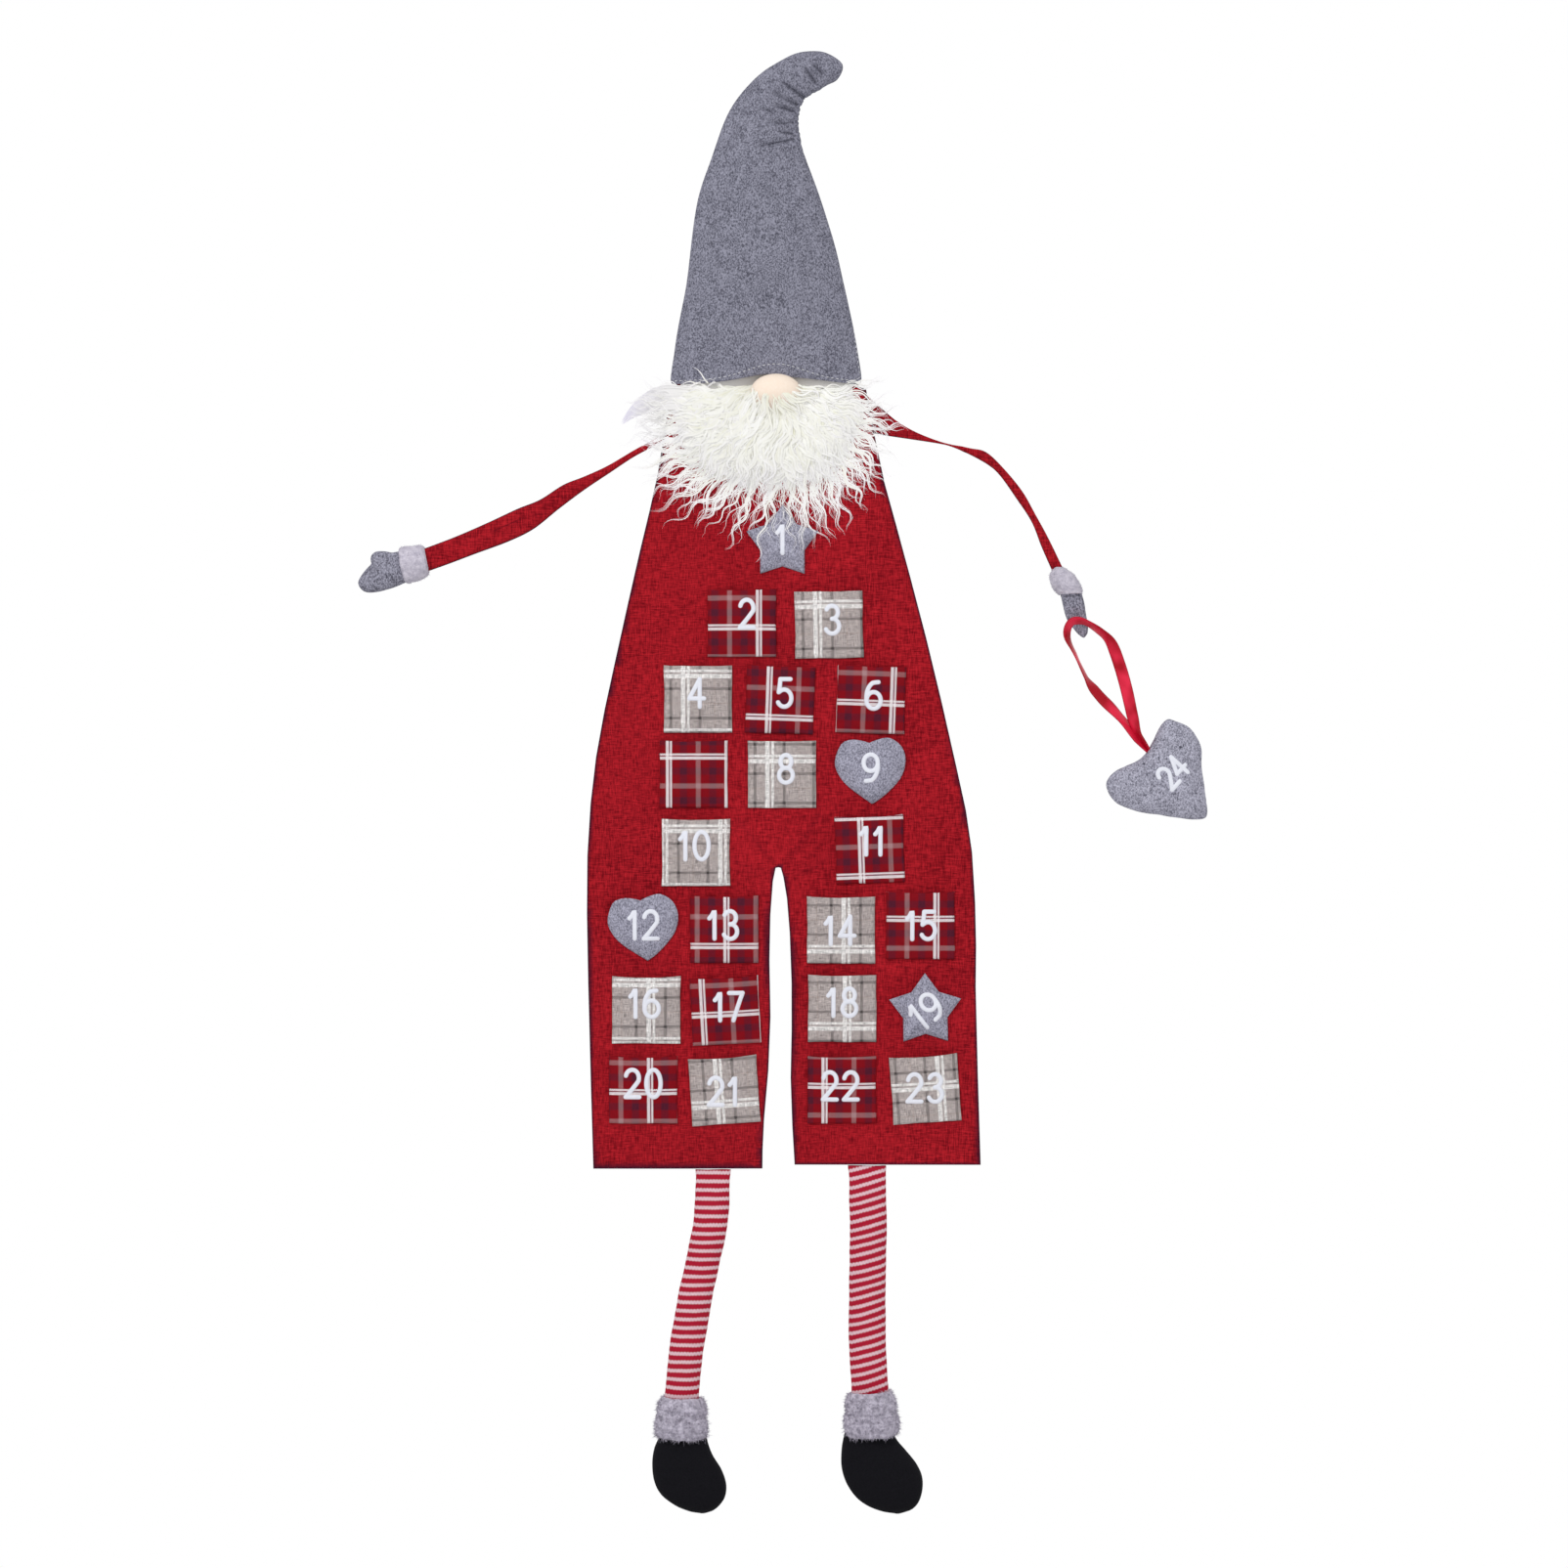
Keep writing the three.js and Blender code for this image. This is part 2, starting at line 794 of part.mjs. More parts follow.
function noseSolid(grown) {
  const geometry = new THREE.SphereGeometry(1, 18, 12);
  geometry.scale(noseWidth / 2 + grown, noseDepth / 2 + grown, noseHeight / 2 + grown);
  geometry.translate(
    hatOffset + noseOffset,
    backingFaceY - clearance - noseDepth / 2,
    shoulderZ + archHeight - noseTuck - noseHeight / 2,
  );
  return geometry;
}

// Beard: a knitted backing sewn on under the brim, the mass of its fur, and the nose set in it
function makeFace() {
  const shoulder = hatSection(0);
  const half = widthInsideHat(shoulder, seamY - backingFaceY) - clearance;
  const top = shoulderZ + archHeight - clearance;
  const backing = backingShares.map(
    ([x, z]) => new THREE.Vector2(shoulder.centre.x + x * half, top + z * (backingDrop + archHeight)),
  );
  add("beard_backing", plate(backing, clothThickness, frontFaceY - clearance), "lining");
  const beardPoint = ([x, z]) =>
    new THREE.Vector2(hatOffset + x * beardWidth, shoulderZ - 2 * clearance - z * beardDrop);
  const outline = smoothRing(beardShares.map(beardPoint), 44);
  const centre = new THREE.Vector2(hatOffset, shoulderZ - beardDrop * beardMiddleShare);
  const fur = pillowSolid(outline, centre, backingFaceY - clearance, beardPuff, 0, 5);
  const grownNose = noseSolid(clearance);
  add("beard", cut(fur, grownNose), "fur");
  add("nose", noseSolid(0), "skin");
}

// Openness of a pocket's edge: 1 in the middle of the mouth, 0 along the sewn edges
function mouthShare(across) {
  return Math.max(1 - across * across, 0);
}

// A patch pocket sewn down on three sides, its mouth standing off the panel
function squarePocket() {
  const faces = [clothThickness, 0].map((offset) => {
    const rows = [];
    for (let i = 0; i <= pocketRows; i += 1) {
      const up = i / pocketRows;
      const row = [];
      for (let j = 0; j <= pocketColumns; j += 1) {
        const across = (2 * j) / pocketColumns - 1;
        const lift = pocketDepth * mouthShare(across) * Math.sin((up * Math.PI) / 2);
        row.push(at((across * pocketWidth) / 2, -clearance - lift - offset, (up - 0.5) * pocketHeight));
      }
      rows.push(row);
    }
    return rows;
  });
  return sheetSolid(faces[0], faces[1]);
}

// A felt pocket of any outline, sewn below and open above, as a domed sheet on spokes
function feltPocket(outline, openFrom) {
  const top = Math.max(...outline.map((p) => p.y));
  const faces = [clothThickness, 0].map((offset) => {
    const lifted = (p, share) => {
      const open = THREE.MathUtils.clamp((p.y - openFrom) / (top - openFrom), 0, 1);
      const dome = (1 - share * share) * domeShare + share * share * open;
      return at(p.x * share, -clearance - pocketDepth * dome - offset, p.y * share);
    };
    return [outline.map(() => at(0, -clearance - pocketDepth * domeShare - offset, 0))].concat(
      ringShares.map((share) => outline.map((p) => lifted(p, share))),
    );
  });
  const [outer, inner] = faces.map((rows) => rows.map((row) => [...row, row[0]]));
  const last = outer.length - 1;
  const back = gridPatches(inner).map((patch) => patch.slice().reverse());
  return closedSurface([...gridPatches(outer), ...back, ...gridPatches([outer[last], inner[last]])]);
}

// A star of five points, with a point in the middle of each of its edges
function starOutline() {
  const corners = [];
  for (let i = 0; i < 10; i += 1) {
    const angle = Math.PI / 2 + (i * Math.PI) / 5;
    const reach = i % 2 === 0 ? starRadius : starRadius * starWaistShare;
    corners.push(new THREE.Vector2(Math.cos(angle), Math.sin(angle)).multiplyScalar(reach));
  }
  return corners.flatMap((corner, i) => {
    const next = corners[(i + 1) % corners.length];
    return [corner, corner.clone().lerp(next, 0.5)];
  });
}

function heartOutline() {
  const size = new THREE.Vector2(heartPocketWidth, heartPocketHeight);
  return smoothRing(heartPocketShares.map((share) => new THREE.Vector2(...share).multiply(size)), 32);
}

function pocketSolid(shape) {
  if (shape === "star") return feltPocket(starOutline(), starRadius * starOpenShare);
  if (shape === "heart") return feltPocket(heartOutline(), heartPocketHeight * heartOpenShare);
  return squarePocket();
}

function makePockets() {
  const materials = { star: "greyFelt", heart: "greyFelt", red: "redPlaid", beige: "beigePlaid" };
  for (const place of pocketPlaces) {
    const name = "pocket_" + String(place.day).padStart(2, "0");
    const mesh = add(name, pocketSolid(place.shape), materials[place.shape]);
    const centre = bodyPoint(place.share);
    mesh.position.set(centre.x, frontFaceY, centre.y);
    mesh.rotation.y = -radians(place.turn);
  }
}

// The body's edge at a share of its height, on one side
function edgeX(side, share) {
  const table = side < 0 ? leftEdgeShares : rightEdgeShares;
  const curve = new THREE.SplineCurve(table.map(bodyPoint));
  const z = bodyPoint([0, share]).y;
  const points = curve.getPoints(10 * edgeSteps);
  points.sort((a, b) => Math.abs(a.y - z) - Math.abs(b.y - z));
  return points[0].x;
}

function shoulderPivot(arm) {
  const x = edgeX(arm.side, arm.edgeShare) + arm.side * (arm.rootRadius + 2 * clearance);
  return new THREE.Vector2(x, bodyPoint([0, arm.edgeShare]).y);
}

// An elliptical ring round a point of the XZ plane, square to a direction in it
function ringAt(centre, direction, halfWidth, halfDepth, count) {
  const ring = [];
  for (let j = 0; j < count; j += 1) {
    const angle = (2 * Math.PI * j) / count;
    const across = halfWidth * Math.cos(angle);
    ring.push(
      at(
        centre.x - direction.y * across,
        seamY + halfDepth * Math.sin(angle),
        centre.y + direction.x * across,
      ),
    );
  }
  return ring;
}

// Route of a limb as a smooth curve, with its half width and half depth at any share
function limbCurve(points, halfWidths, halfDepths) {
  const curve = new THREE.SplineCurve(points);
  const between = (table, share) => {
    const place = share * (table.length - 1);
    const low = Math.min(Math.floor(place), table.length - 2);
    return THREE.MathUtils.lerp(table[low], table[low + 1], place - low);
  };
  return {
    point: (share) => curve.getPoint(share),
    direction: (share) => curve.getTangent(share),
    width: (share) => between(halfWidths, share),
    depth: (share) => between(halfDepths, share),
  };
}

function limbSolid(curve, steps, rootRadius, rootDepth) {
  const rings = [];
  const start = curve.point(0);
  const heading = curve.direction(0);
  for (const degrees of rootDegrees) {
    const angle = radians(degrees);
    const place = start.clone().addScaledVector(heading, -rootRadius * Math.sin(angle));
    const narrowing = Math.cos(angle);
    rings.push(ringAt(place, heading, rootRadius * narrowing, rootDepth * narrowing, limbSides));
  }
  for (let i = 0; i <= steps; i += 1) {
    const share = i / steps;
    rings.push(
      ringAt(
        curve.point(share),
        curve.direction(share),
        curve.width(share),
        curve.depth(share),
        limbSides,
      ),
    );
  }
  return loftSolid(rings);
}

function armCurve(arm) {
  const pivot = shoulderPivot(arm);
  const points = arm.routeShares.map(
    ([x, z]) => new THREE.Vector2(pivot.x + arm.side * x * arm.span, pivot.y + z * arm.span),
  );
  const widths = arm.widthShares.map((share) => share * arm.halfWidth);
  const depths = arm.depthShares.map((share) => share * arm.halfDepth);
  return limbCurve([pivot, ...points], [arm.rootRadius, ...widths], [depths[0], ...depths]);
}

// A plush band round the end of a limb, from just short of the end to past it
function cuffSolid(centre, direction, length, boreWidth, boreDepth, wall) {
  const rings = cuffShares.map(([along, out]) =>
    ringAt(
      centre.clone().addScaledVector(direction, along * length),
      direction,
      boreWidth + wall * out,
      boreDepth + wall * out,
      cuffSides,
    ),
  );
  const closed = [...rings, rings[0]].map((ring) => [...ring, ring[0]]);
  return closedSurface(gridPatches(closed));
}

// A mitten or boot outline turned to lie along a direction from its wrist or ankle
function turnedOutline(shares, length, width, wrist, direction, side) {
  return shares.map(([along, across]) =>
    wrist
      .clone()
      .addScaledVector(direction, along * length)
      .add(new THREE.Vector2(-direction.y, direction.x).multiplyScalar(side * across * width)),
  );
}

function makeArm(name, arm, mittenShares) {
  const curve = armCurve(arm);
  add(name + "_sleeve", limbSolid(curve, sleeveSteps, arm.rootRadius, curve.depth(0)), "redLinen");
  const end = curve.point(1);
  const direction = curve.direction(1);
  const wide = Math.max(curve.width(1), mittenWidth * wristWidthShare) + clearance;
  const deep = Math.max(curve.depth(1), mittenPuff) + clearance;
  const cuffCentre = end.clone().addScaledVector(direction, armCuffLength * cuffShiftShare);
  add(name + "_arm_cuff", cuffSolid(cuffCentre, direction, armCuffLength, wide, deep, armCuffWall), "plush");
  const wrist = end.clone().addScaledVector(direction, clearance + mittenLength * wristShare);
  const handLength = mittenLength * (1 - wristShare);
  const corners = turnedOutline(mittenShares, handLength, mittenWidth, wrist, direction, -arm.side);
  const outline = smoothRing(corners, 28);
  const middle = wrist.clone().addScaledVector(direction, mittenLength * mittenMiddleShare);
  add(name + "_mitten", pillowSolid(outline, middle, seamY, mittenPuff, mittenPuff, 4), "greyFelt");
}

// Legs hang from pivots just under the hems
function hipPivot(leg) {
  const hem = bodyPoint([leg.placeShare, leg.hemShare]);
  return new THREE.Vector2(hem.x, hem.y - legTopHalfDepth - 2 * clearance);
}

function legSolid(curve) {
  const rings = [];
  const down = new THREE.Vector2(0, -1);
  for (const degrees of rootDegrees) {
    const angle = radians(degrees);
    const place = curve.point(0).add(new THREE.Vector2(0, legTopHalfDepth * Math.sin(angle)));
    rings.push(ringAt(place, down, legHalfWidth, legTopHalfDepth * Math.cos(angle), legSides));
  }
  for (let i = 0; i <= legSteps; i += 1) {
    const share = i / legSteps;
    const direction = i === 0 ? down : curve.direction(share);
    rings.push(ringAt(curve.point(share), direction, curve.width(share), curve.depth(share), legSides));
  }
  return loftSolid(rings);
}

function makeLeg(name, leg) {
  const pivot = hipPivot(leg);
  const points = leg.routeShares.map(
    ([x, z]) => new THREE.Vector2(pivot.x + x * legLength, pivot.y + z * legLength),
  );
  const widths = points.map(() => legHalfWidth);
  const depths = points.map(() => legHalfDepth);
  depths[0] = legTopHalfDepth;
  const curve = limbCurve(points, widths, depths);
  add(name + "_leg", legSolid(curve), "stripedKnit");
  const end = curve.point(1);
  const direction = curve.direction(1);
  const boreWidth = legHalfWidth + 7 * clearance;
  const boreDepth = legHalfDepth + 8 * clearance;
  const cuffCentre = end.clone().addScaledVector(direction, bootCuffLength * cuffShiftShare);
  add(
    name + "_boot_cuff",
    cuffSolid(cuffCentre, direction, bootCuffLength, boreWidth, boreDepth, bootCuffWall),
    "plush",
  );
  const ankle = end.clone().addScaledVector(direction, 4 * clearance);
  const corners = bootShares.map(
    ([x, z]) => new THREE.Vector2(ankle.x + x * bootWidth, ankle.y + z * bootHeight),
  );
  const middle = new THREE.Vector2(ankle.x, ankle.y - bootHeight * bootMiddleShare);
  const boot = pillowSolid(smoothRing(corners, 32), middle, seamY, bootPuff, bootPuff, 4);
  add(name + "_boot", boot, "blackFabric");
}

// A flat strip of ribbon along a line in the XZ plane, tapering to its last end
function ribbonStrip(line) {
  const left = [];
  const right = [];
  line.forEach((p, i) => {
    const before = line[Math.max(i - 1, 0)];
    const after = line[Math.min(i + 1, line.length - 1)];
    const along = after.clone().sub(before).normalize();
    const taper = THREE.MathUtils.smoothstep(line.length - 1 - i, 0, 3);
    const half = THREE.MathUtils.lerp(ribbonEndWidth, ribbonWidth, taper) / 2;
    const across = new THREE.Vector2(-along.y, along.x).multiplyScalar(half);
    left.push(p.clone().add(across));
    right.push(p.clone().sub(across));
  });
  return plate([...left, ...right.reverse()], ribbonThickness, 0);
}

// The ribbon's bight is tacked across the palm, and its ends are sewn into the heart's notch
function makeHeart() {
  const curve = armCurve(rightArm);
  const palm = curve
    .point(1)
    .addScaledVector(curve.direction(1), clearance + mittenLength * palmShare);
  const foot = new THREE.Vector2(palm.x, palm.y - ribbonReach * ribbonPalmShare);
  const place = ([x, z]) => new THREE.Vector2(foot.x + x * ribbonReach, foot.y + z * ribbonReach);
  const strands = [rightStrandShares, leftStrandShares].map((shares) =>
    ribbonStrip(smoothLine(shares.map(place), 20)),
  );
  const ribbon = join(strands[0], strands[1]);
  const frontY = seamY - mittenPuff - clearance;
  const lowest = place(leftStrandShares[leftStrandShares.length - 1]);
  const positions = ribbon.attributes.position;
  for (let i = 0; i < positions.count; i += 1) {
    const down = (palm.y - mittenWidth / 2 - positions.getZ(i)) / (ribbonReach * ribbonSettleShare);
    const settled = THREE.MathUtils.clamp(down, 0, 1);
    const y = THREE.MathUtils.lerp(frontY, seamY + ribbonThickness / 2, settled);
    positions.setY(i, positions.getY(i) + y);
  }
  add("ribbon", ribbon, "satin");
  const notch = lowest.add(new THREE.Vector2(1, -1).multiplyScalar(2 * clearance));
  const heartPoint = ([x, z]) => new THREE.Vector2(notch.x + x * heartWidth, notch.y + z * heartWidth);
  const outline = smoothRing(heartShares.map(heartPoint), 40);
  const heart = pillowSolid(outline, heartPoint(heartMiddleShare), seamY, heartPuff, heartPuff, 5);
  add("heart", heart, "greyFelt");
}

makeBody();
makeHat();
makeLoop();
makeFace();
makePockets();
makeArm("left", leftArm, leftMittenShares);
makeArm("right", rightArm, rightMittenShares);
makeLeg("left", leftLeg);
makeLeg("right", rightLeg);
makeHeart();

export default group;
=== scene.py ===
import bpy
import bisect
import bmesh
import math
import random
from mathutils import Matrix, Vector, noise
from mathutils.bvhtree import BVHTree


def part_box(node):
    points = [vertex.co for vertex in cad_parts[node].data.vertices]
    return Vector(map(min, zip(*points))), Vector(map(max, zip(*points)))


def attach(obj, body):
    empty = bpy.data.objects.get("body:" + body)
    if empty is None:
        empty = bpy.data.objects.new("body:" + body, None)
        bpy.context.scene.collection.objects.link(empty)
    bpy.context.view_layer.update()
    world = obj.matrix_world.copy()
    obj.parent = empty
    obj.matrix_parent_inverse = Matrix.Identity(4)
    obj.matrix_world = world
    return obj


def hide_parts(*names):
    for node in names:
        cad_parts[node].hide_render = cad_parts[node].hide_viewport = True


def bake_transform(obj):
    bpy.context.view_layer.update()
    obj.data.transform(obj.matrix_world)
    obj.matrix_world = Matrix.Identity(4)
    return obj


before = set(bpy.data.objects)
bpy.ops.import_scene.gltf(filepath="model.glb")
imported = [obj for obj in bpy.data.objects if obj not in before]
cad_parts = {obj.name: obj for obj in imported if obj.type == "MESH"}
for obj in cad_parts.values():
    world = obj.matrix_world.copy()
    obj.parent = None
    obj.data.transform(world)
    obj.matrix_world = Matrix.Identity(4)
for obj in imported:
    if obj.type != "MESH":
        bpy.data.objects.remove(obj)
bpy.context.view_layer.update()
print("frame loaded")

mm = 0.001
frontLow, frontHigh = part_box("front_panel")
frontY = frontLow.y
backY = frontHigh.y
seamY = (frontY + backY) / 2
backwards = Vector((0, 1, 0))


def linked(name, data):
    obj = bpy.data.objects.new(name, data)
    bpy.context.scene.collection.objects.link(obj)
    return obj


def meshObject(name, verts, faces, material, uvs=None):
    mesh = bpy.data.meshes.new(name)
    mesh.from_pydata([tuple(v) for v in verts], [], faces)
    mesh.materials.append(material)
    mesh.polygons.foreach_set("use_smooth", [True] * len(mesh.polygons))
    if uvs:
        layer = mesh.uv_layers.new(name="cloth")
        layer.data.foreach_set("uv", [c for loop in mesh.loops for c in uvs[loop.vertex_index]])
    return linked(name, mesh)


def facingOut(obj):
    bm = bmesh.new()
    bm.from_mesh(obj.data)
    bmesh.ops.recalc_face_normals(bm, faces=bm.faces)
    bm.to_mesh(obj.data)
    bm.free()
    return obj


def seat(obj, body, slot, *nodes):
    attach(obj, body)
    if nodes:
        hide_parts(*nodes)
    return obj


def bakeModifiers(obj):
    depsgraph = bpy.context.evaluated_depsgraph_get()
    mesh = bpy.data.meshes.new_from_object(obj.evaluated_get(depsgraph))
    obj.modifiers.clear()
    obj.data = mesh
    return obj


# A copy of a solid's mesh in another material, and the same opened for changes
def openSolid(solid, material):
    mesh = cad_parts[solid].data.copy()
    mesh.materials.clear()
    mesh.materials.append(material)
    bm = bmesh.new()
    bm.from_mesh(mesh)
    bmesh.ops.remove_doubles(bm, verts=bm.verts, dist=0.01 * mm)
    return mesh, bm


def closeSmooth(mesh, bm):
    for face in bm.faces:
        face.smooth = True
    bm.to_mesh(mesh)
    bm.free()


# A soft copy of a solid: triangles merged to quads, then subdivided, and sharp from an angle on
def softCopy(solid, name, levels, material, sharpFrom):
    mesh, bm = openSolid(solid, material)
    bmesh.ops.join_triangles(bm, faces=bm.faces, angle_face_threshold=0.9, angle_shape_threshold=1.2)
    crease = bm.edges.layers.float.new("crease_edge")
    for edge in bm.edges:
        if len(edge.link_faces) == 2 and edge.calc_face_angle() > sharpFrom:
            edge[crease] = 1.0
    closeSmooth(mesh, bm)
    obj = linked(name, mesh)
    smoother = obj.modifiers.new("smoother", "SUBSURF")
    smoother.levels = levels
    smoother.render_levels = levels
    return bakeModifiers(obj)


# Moves each vertex by what the function gives for its place and normal
def shift(obj, offset):
    vertices = obj.data.vertices
    places, normals = [0.0] * (3 * len(vertices)), [0.0] * (3 * len(vertices))
    vertices.foreach_get("co", places)
    vertices.foreach_get("normal", normals)
    for i in range(0, len(places), 3):
        place = Vector(places[i : i + 3])
        places[i : i + 3] = place + offset(place, Vector(normals[i : i + 3]))
    vertices.foreach_set("co", places)
    obj.data.update()


def circle(sides):
    return [(math.cos(2 * math.pi * k / sides), math.sin(2 * math.pi * k / sides)) for k in range(sides)]


# Sides and ends of a tube whose rings of corners are numbered one after the other
def tubeFaces(base, rings, sides):
    faces = []
    for i in range(rings - 1):
        for k in range(sides):
            a, b = base + i * sides + k, base + i * sides + (k + 1) % sides
            faces.append((a, b, b + sides, a + sides))
    faces.append(tuple(base + k for k in reversed(range(sides))))
    faces.append(tuple(base + (rings - 1) * sides + k for k in range(sides)))
    return faces


def bell(distance, width):
    return math.exp(-((distance / width) ** 2))


def ripple(p, size, seed):
    return noise.noise(Vector((p.x / size, p.y / size, p.z / size + seed * 17.3)))


def clamp(value, low, high):
    return max(low, min(high, value))


# A smooth curve through points, from 0 at the first to 1 at the last
def catmull(points, t):
    place = clamp(t, 0, 1) * (len(points) - 1)
    i = min(int(place), len(points) - 2)
    w = place - i
    p1, p2 = points[i], points[i + 1]
    p0 = points[max(i - 1, 0)]
    p3 = points[min(i + 2, len(points) - 1)]
    v0, v1 = (p2 - p0) * 0.5, (p3 - p1) * 0.5
    return (2 * p1 - 2 * p2 + v0 + v1) * w**3 + (-3 * p1 + 3 * p2 - 2 * v0 - v1) * w**2 + v0 * w + p1


# Direction of a path at one of its points
def headingAt(path, i):
    return (path[min(i + 1, len(path) - 1)] - path[max(i - 1, 0)]).normalized()


# Links a shader socket to a value of its tree, or sets it to a plain one
def feed(tree, target, value):
    if isinstance(value, Value):
        value = value.socket
    if isinstance(value, bpy.types.NodeSocket):
        tree.links.new(value, target)
    else:
        target.default_value = (*value, 1) if target.type == "RGBA" else value


def node(tree, kind, inputs=None, **settings):
    made = tree.nodes.new(kind)
    for key, value in settings.items():
        setattr(made, key, value)
    for key, value in (inputs or {}).items():
        feed(tree, made.inputs[key], value)
    return made


# A value in a shader's tree: reckoning with it adds nodes
class Value:
    def __init__(self, tree, socket):
        self.tree, self.socket = tree, socket

    def make(self, kind, inputs, output=0, **settings):
        return Value(self.tree, node(self.tree, kind, inputs, **settings).outputs[output])

    def calc(self, operation, *others):
        return self.make("ShaderNodeMath", dict(enumerate((self, *others))), operation=operation)

    def __add__(self, other):
        return self.calc("ADD", other)

    def __sub__(self, other):
        return self.calc("SUBTRACT", other)

    def __rsub__(self, other):
        return self.make("ShaderNodeMath", {0: other, 1: self}, operation="SUBTRACT")

    def __mul__(self, other):
        return self.calc("MULTIPLY", other)

    def __truediv__(self, other):
        return self.calc("DIVIDE", other)

    def __rtruediv__(self, other):
        return self.make("ShaderNodeMath", {0: other, 1: self}, operation="DIVIDE")

    def timesPlus(self, factor, offset):
        return self.calc("MULTIPLY_ADD", factor, offset)

    def fraction(self):
        return self.calc("FRACT")

    def size(self):
        return self.calc("ABSOLUTE")

    def sine(self):
        return self.calc("SINE")

    def below(self, limit):
        return self.calc("LESS_THAN", limit)

    def clamped(self):
        return self.make("ShaderNodeClamp", {0: self})

    def split(self):
        parts = node(self.tree, "ShaderNodeSeparateXYZ", {0: self}).outputs
        return [Value(self.tree, socket) for socket in parts]

    def vector(self, operation, other=(0, 0, 0), output="Vector", place=1):
        return self.make("ShaderNodeVectorMath", {0: self, place: other}, output, operation=operation)

    def stretched(self, x, y, z):
        return self.vector("MULTIPLY", (x, y, z))

    def grain(self, scale=1.0, detail=3.0, roughness=0.6):
        inputs = {"Vector": self, "Scale": scale, "Detail": detail, "Roughness": roughness}
        return self.make("ShaderNodeTexNoise", inputs)

    # Spreads a value about one half, so that noise has more contrast
    def contrast(self, gain):
        return (self - 0.5).timesPlus(gain, 0.5)


def values(tree, outputs):
    return {socket.name: Value(tree, socket) for socket in outputs}


def strongest(marks):
    most = marks[0]
    for mark in marks[1:]:
        most = most.calc("MAXIMUM", mark)
    return most


def mixColour(share, a, b, blend="MIX"):
    tree = next(one.tree for one in (share, a) if isinstance(one, Value))
    made = node(tree, "ShaderNodeMix", {"Factor": share}, data_type="RGBA", blend_type=blend)
    feed(tree, made.inputs[6], a)
    feed(tree, made.inputs[7], b)
    return Value(tree, made.outputs[2])


# A colour made lighter or darker by a value
def dusted(colour, dust):
    return mixColour(1.0, colour, dust.make("ShaderNodeCombineXYZ", {0: dust, 1: dust, 2: dust}), "MULTIPLY")


def newGroup(name, vectors, floats, outputs, build):
    tree = bpy.data.node_groups.new(name, "ShaderNodeTree")
    sockets = ((vectors, "INPUT", "Vector"), (floats, "INPUT", "Float"), (outputs, "OUTPUT", "Float"))
    for labels, way, kind in sockets:
        for label in labels:
            tree.interface.new_socket(label, in_out=way, socket_type="NodeSocket" + kind)
    given = tree.nodes.new("NodeGroupInput")
    node(tree, "NodeGroupOutput", build(values(tree, given.outputs)))
    return tree


def useGroup(group, inputs):
    tree = inputs["Vector"].tree
    return values(tree, node(tree, "ShaderNodeGroup", inputs, node_tree=group).outputs)


# Plain weave: crossed threads with slubs that run along each of them
def buildWeave(given):
    place = given["Vector"]
    x, _, z = place.split()
    turn = 2 * math.pi / given["Pitch"]
    knots = (x * turn).sine() * (z * turn).sine()
    warp, weft = [place.stretched(*run).grain(detail=2.0) for run in ((1150, 200, 130), (130, 200, 1150))]
    slubs = ((warp + weft) * 0.5).contrast(4.2)
    return {"Height": knots * 0.25 + slubs, "Slubs": knots.timesPlus(0.16, slubs)}


# Felt: matted fibre with light and dark flecks
def buildFelt(given):
    place = given["Vector"]
    clouds = place.grain(100.0, 3.0, 0.65)
    flecks = place.stretched(880, 880, 620).grain(roughness=0.75)
    fibres = place.grain(1500.0, 2.0, 0.7)
    return {"Tone": (clouds * 0.16 + flecks * 0.84).contrast(5.2), "Height": flecks * 0.5 + fibres}


# The dark line of a fold between two points, seen from the front: how strongly the fold's painted shade and
# dip reach a place
def buildFoldLine(given):
    along = given["End"].vector("SUBTRACT", given["Start"])
    reach = given["Vector"].vector("SUBTRACT", given["Start"])
    passed, whole = [line.vector("DOT_PRODUCT", along, "Value") for line in (reach, along)]
    share = (passed / whole).clamped()
    nearest = along.vector("SCALE", share, place="Scale")
    gap = reach.vector("SUBTRACT", nearest).vector("LENGTH", output="Value")
    near = (1.0 - gap / given["Width"]).clamped()
    fade = share.timesPlus(2.2, 0.1).clamped()
    return {"Mark": near * fade * given["Depth"]}


weaveGroup = newGroup("plainWeave", ["Vector"], ["Pitch"], ["Height", "Slubs"], buildWeave)
feltGroup = newGroup("mattedFelt", ["Vector"], [], ["Tone", "Height"], buildFelt)
foldGroup = newGroup("foldLine", ["Vector", "Start", "End"], ["Width", "Depth"], ["Mark"], buildFoldLine)


# Makes a cloth: build gives its colour and height
def cloth(name, build, roughness=0.9, bump=0.5, depth=0.3 * mm, sheen=0.0, specular=0.1):
    material = bpy.data.materials.new(name)
    material.use_nodes = True
    tree = material.node_tree
    made = build(values(tree, node(tree, "ShaderNodeTexCoord").outputs))
    relief = node(tree, "ShaderNodeBump", {"Height": made["height"], "Strength": bump, "Distance": depth})
    given = {
        "Base Color": made["colour"],
        "Roughness": roughness,
        "Specular IOR Level": specular,
        "Sheen Weight": sheen,
        "Sheen Roughness": 0.5,
        "Normal": relief.outputs[0],
    }
    for label, value in given.items():
        feed(tree, tree.nodes["Principled BSDF"].inputs[label], value)
    return material
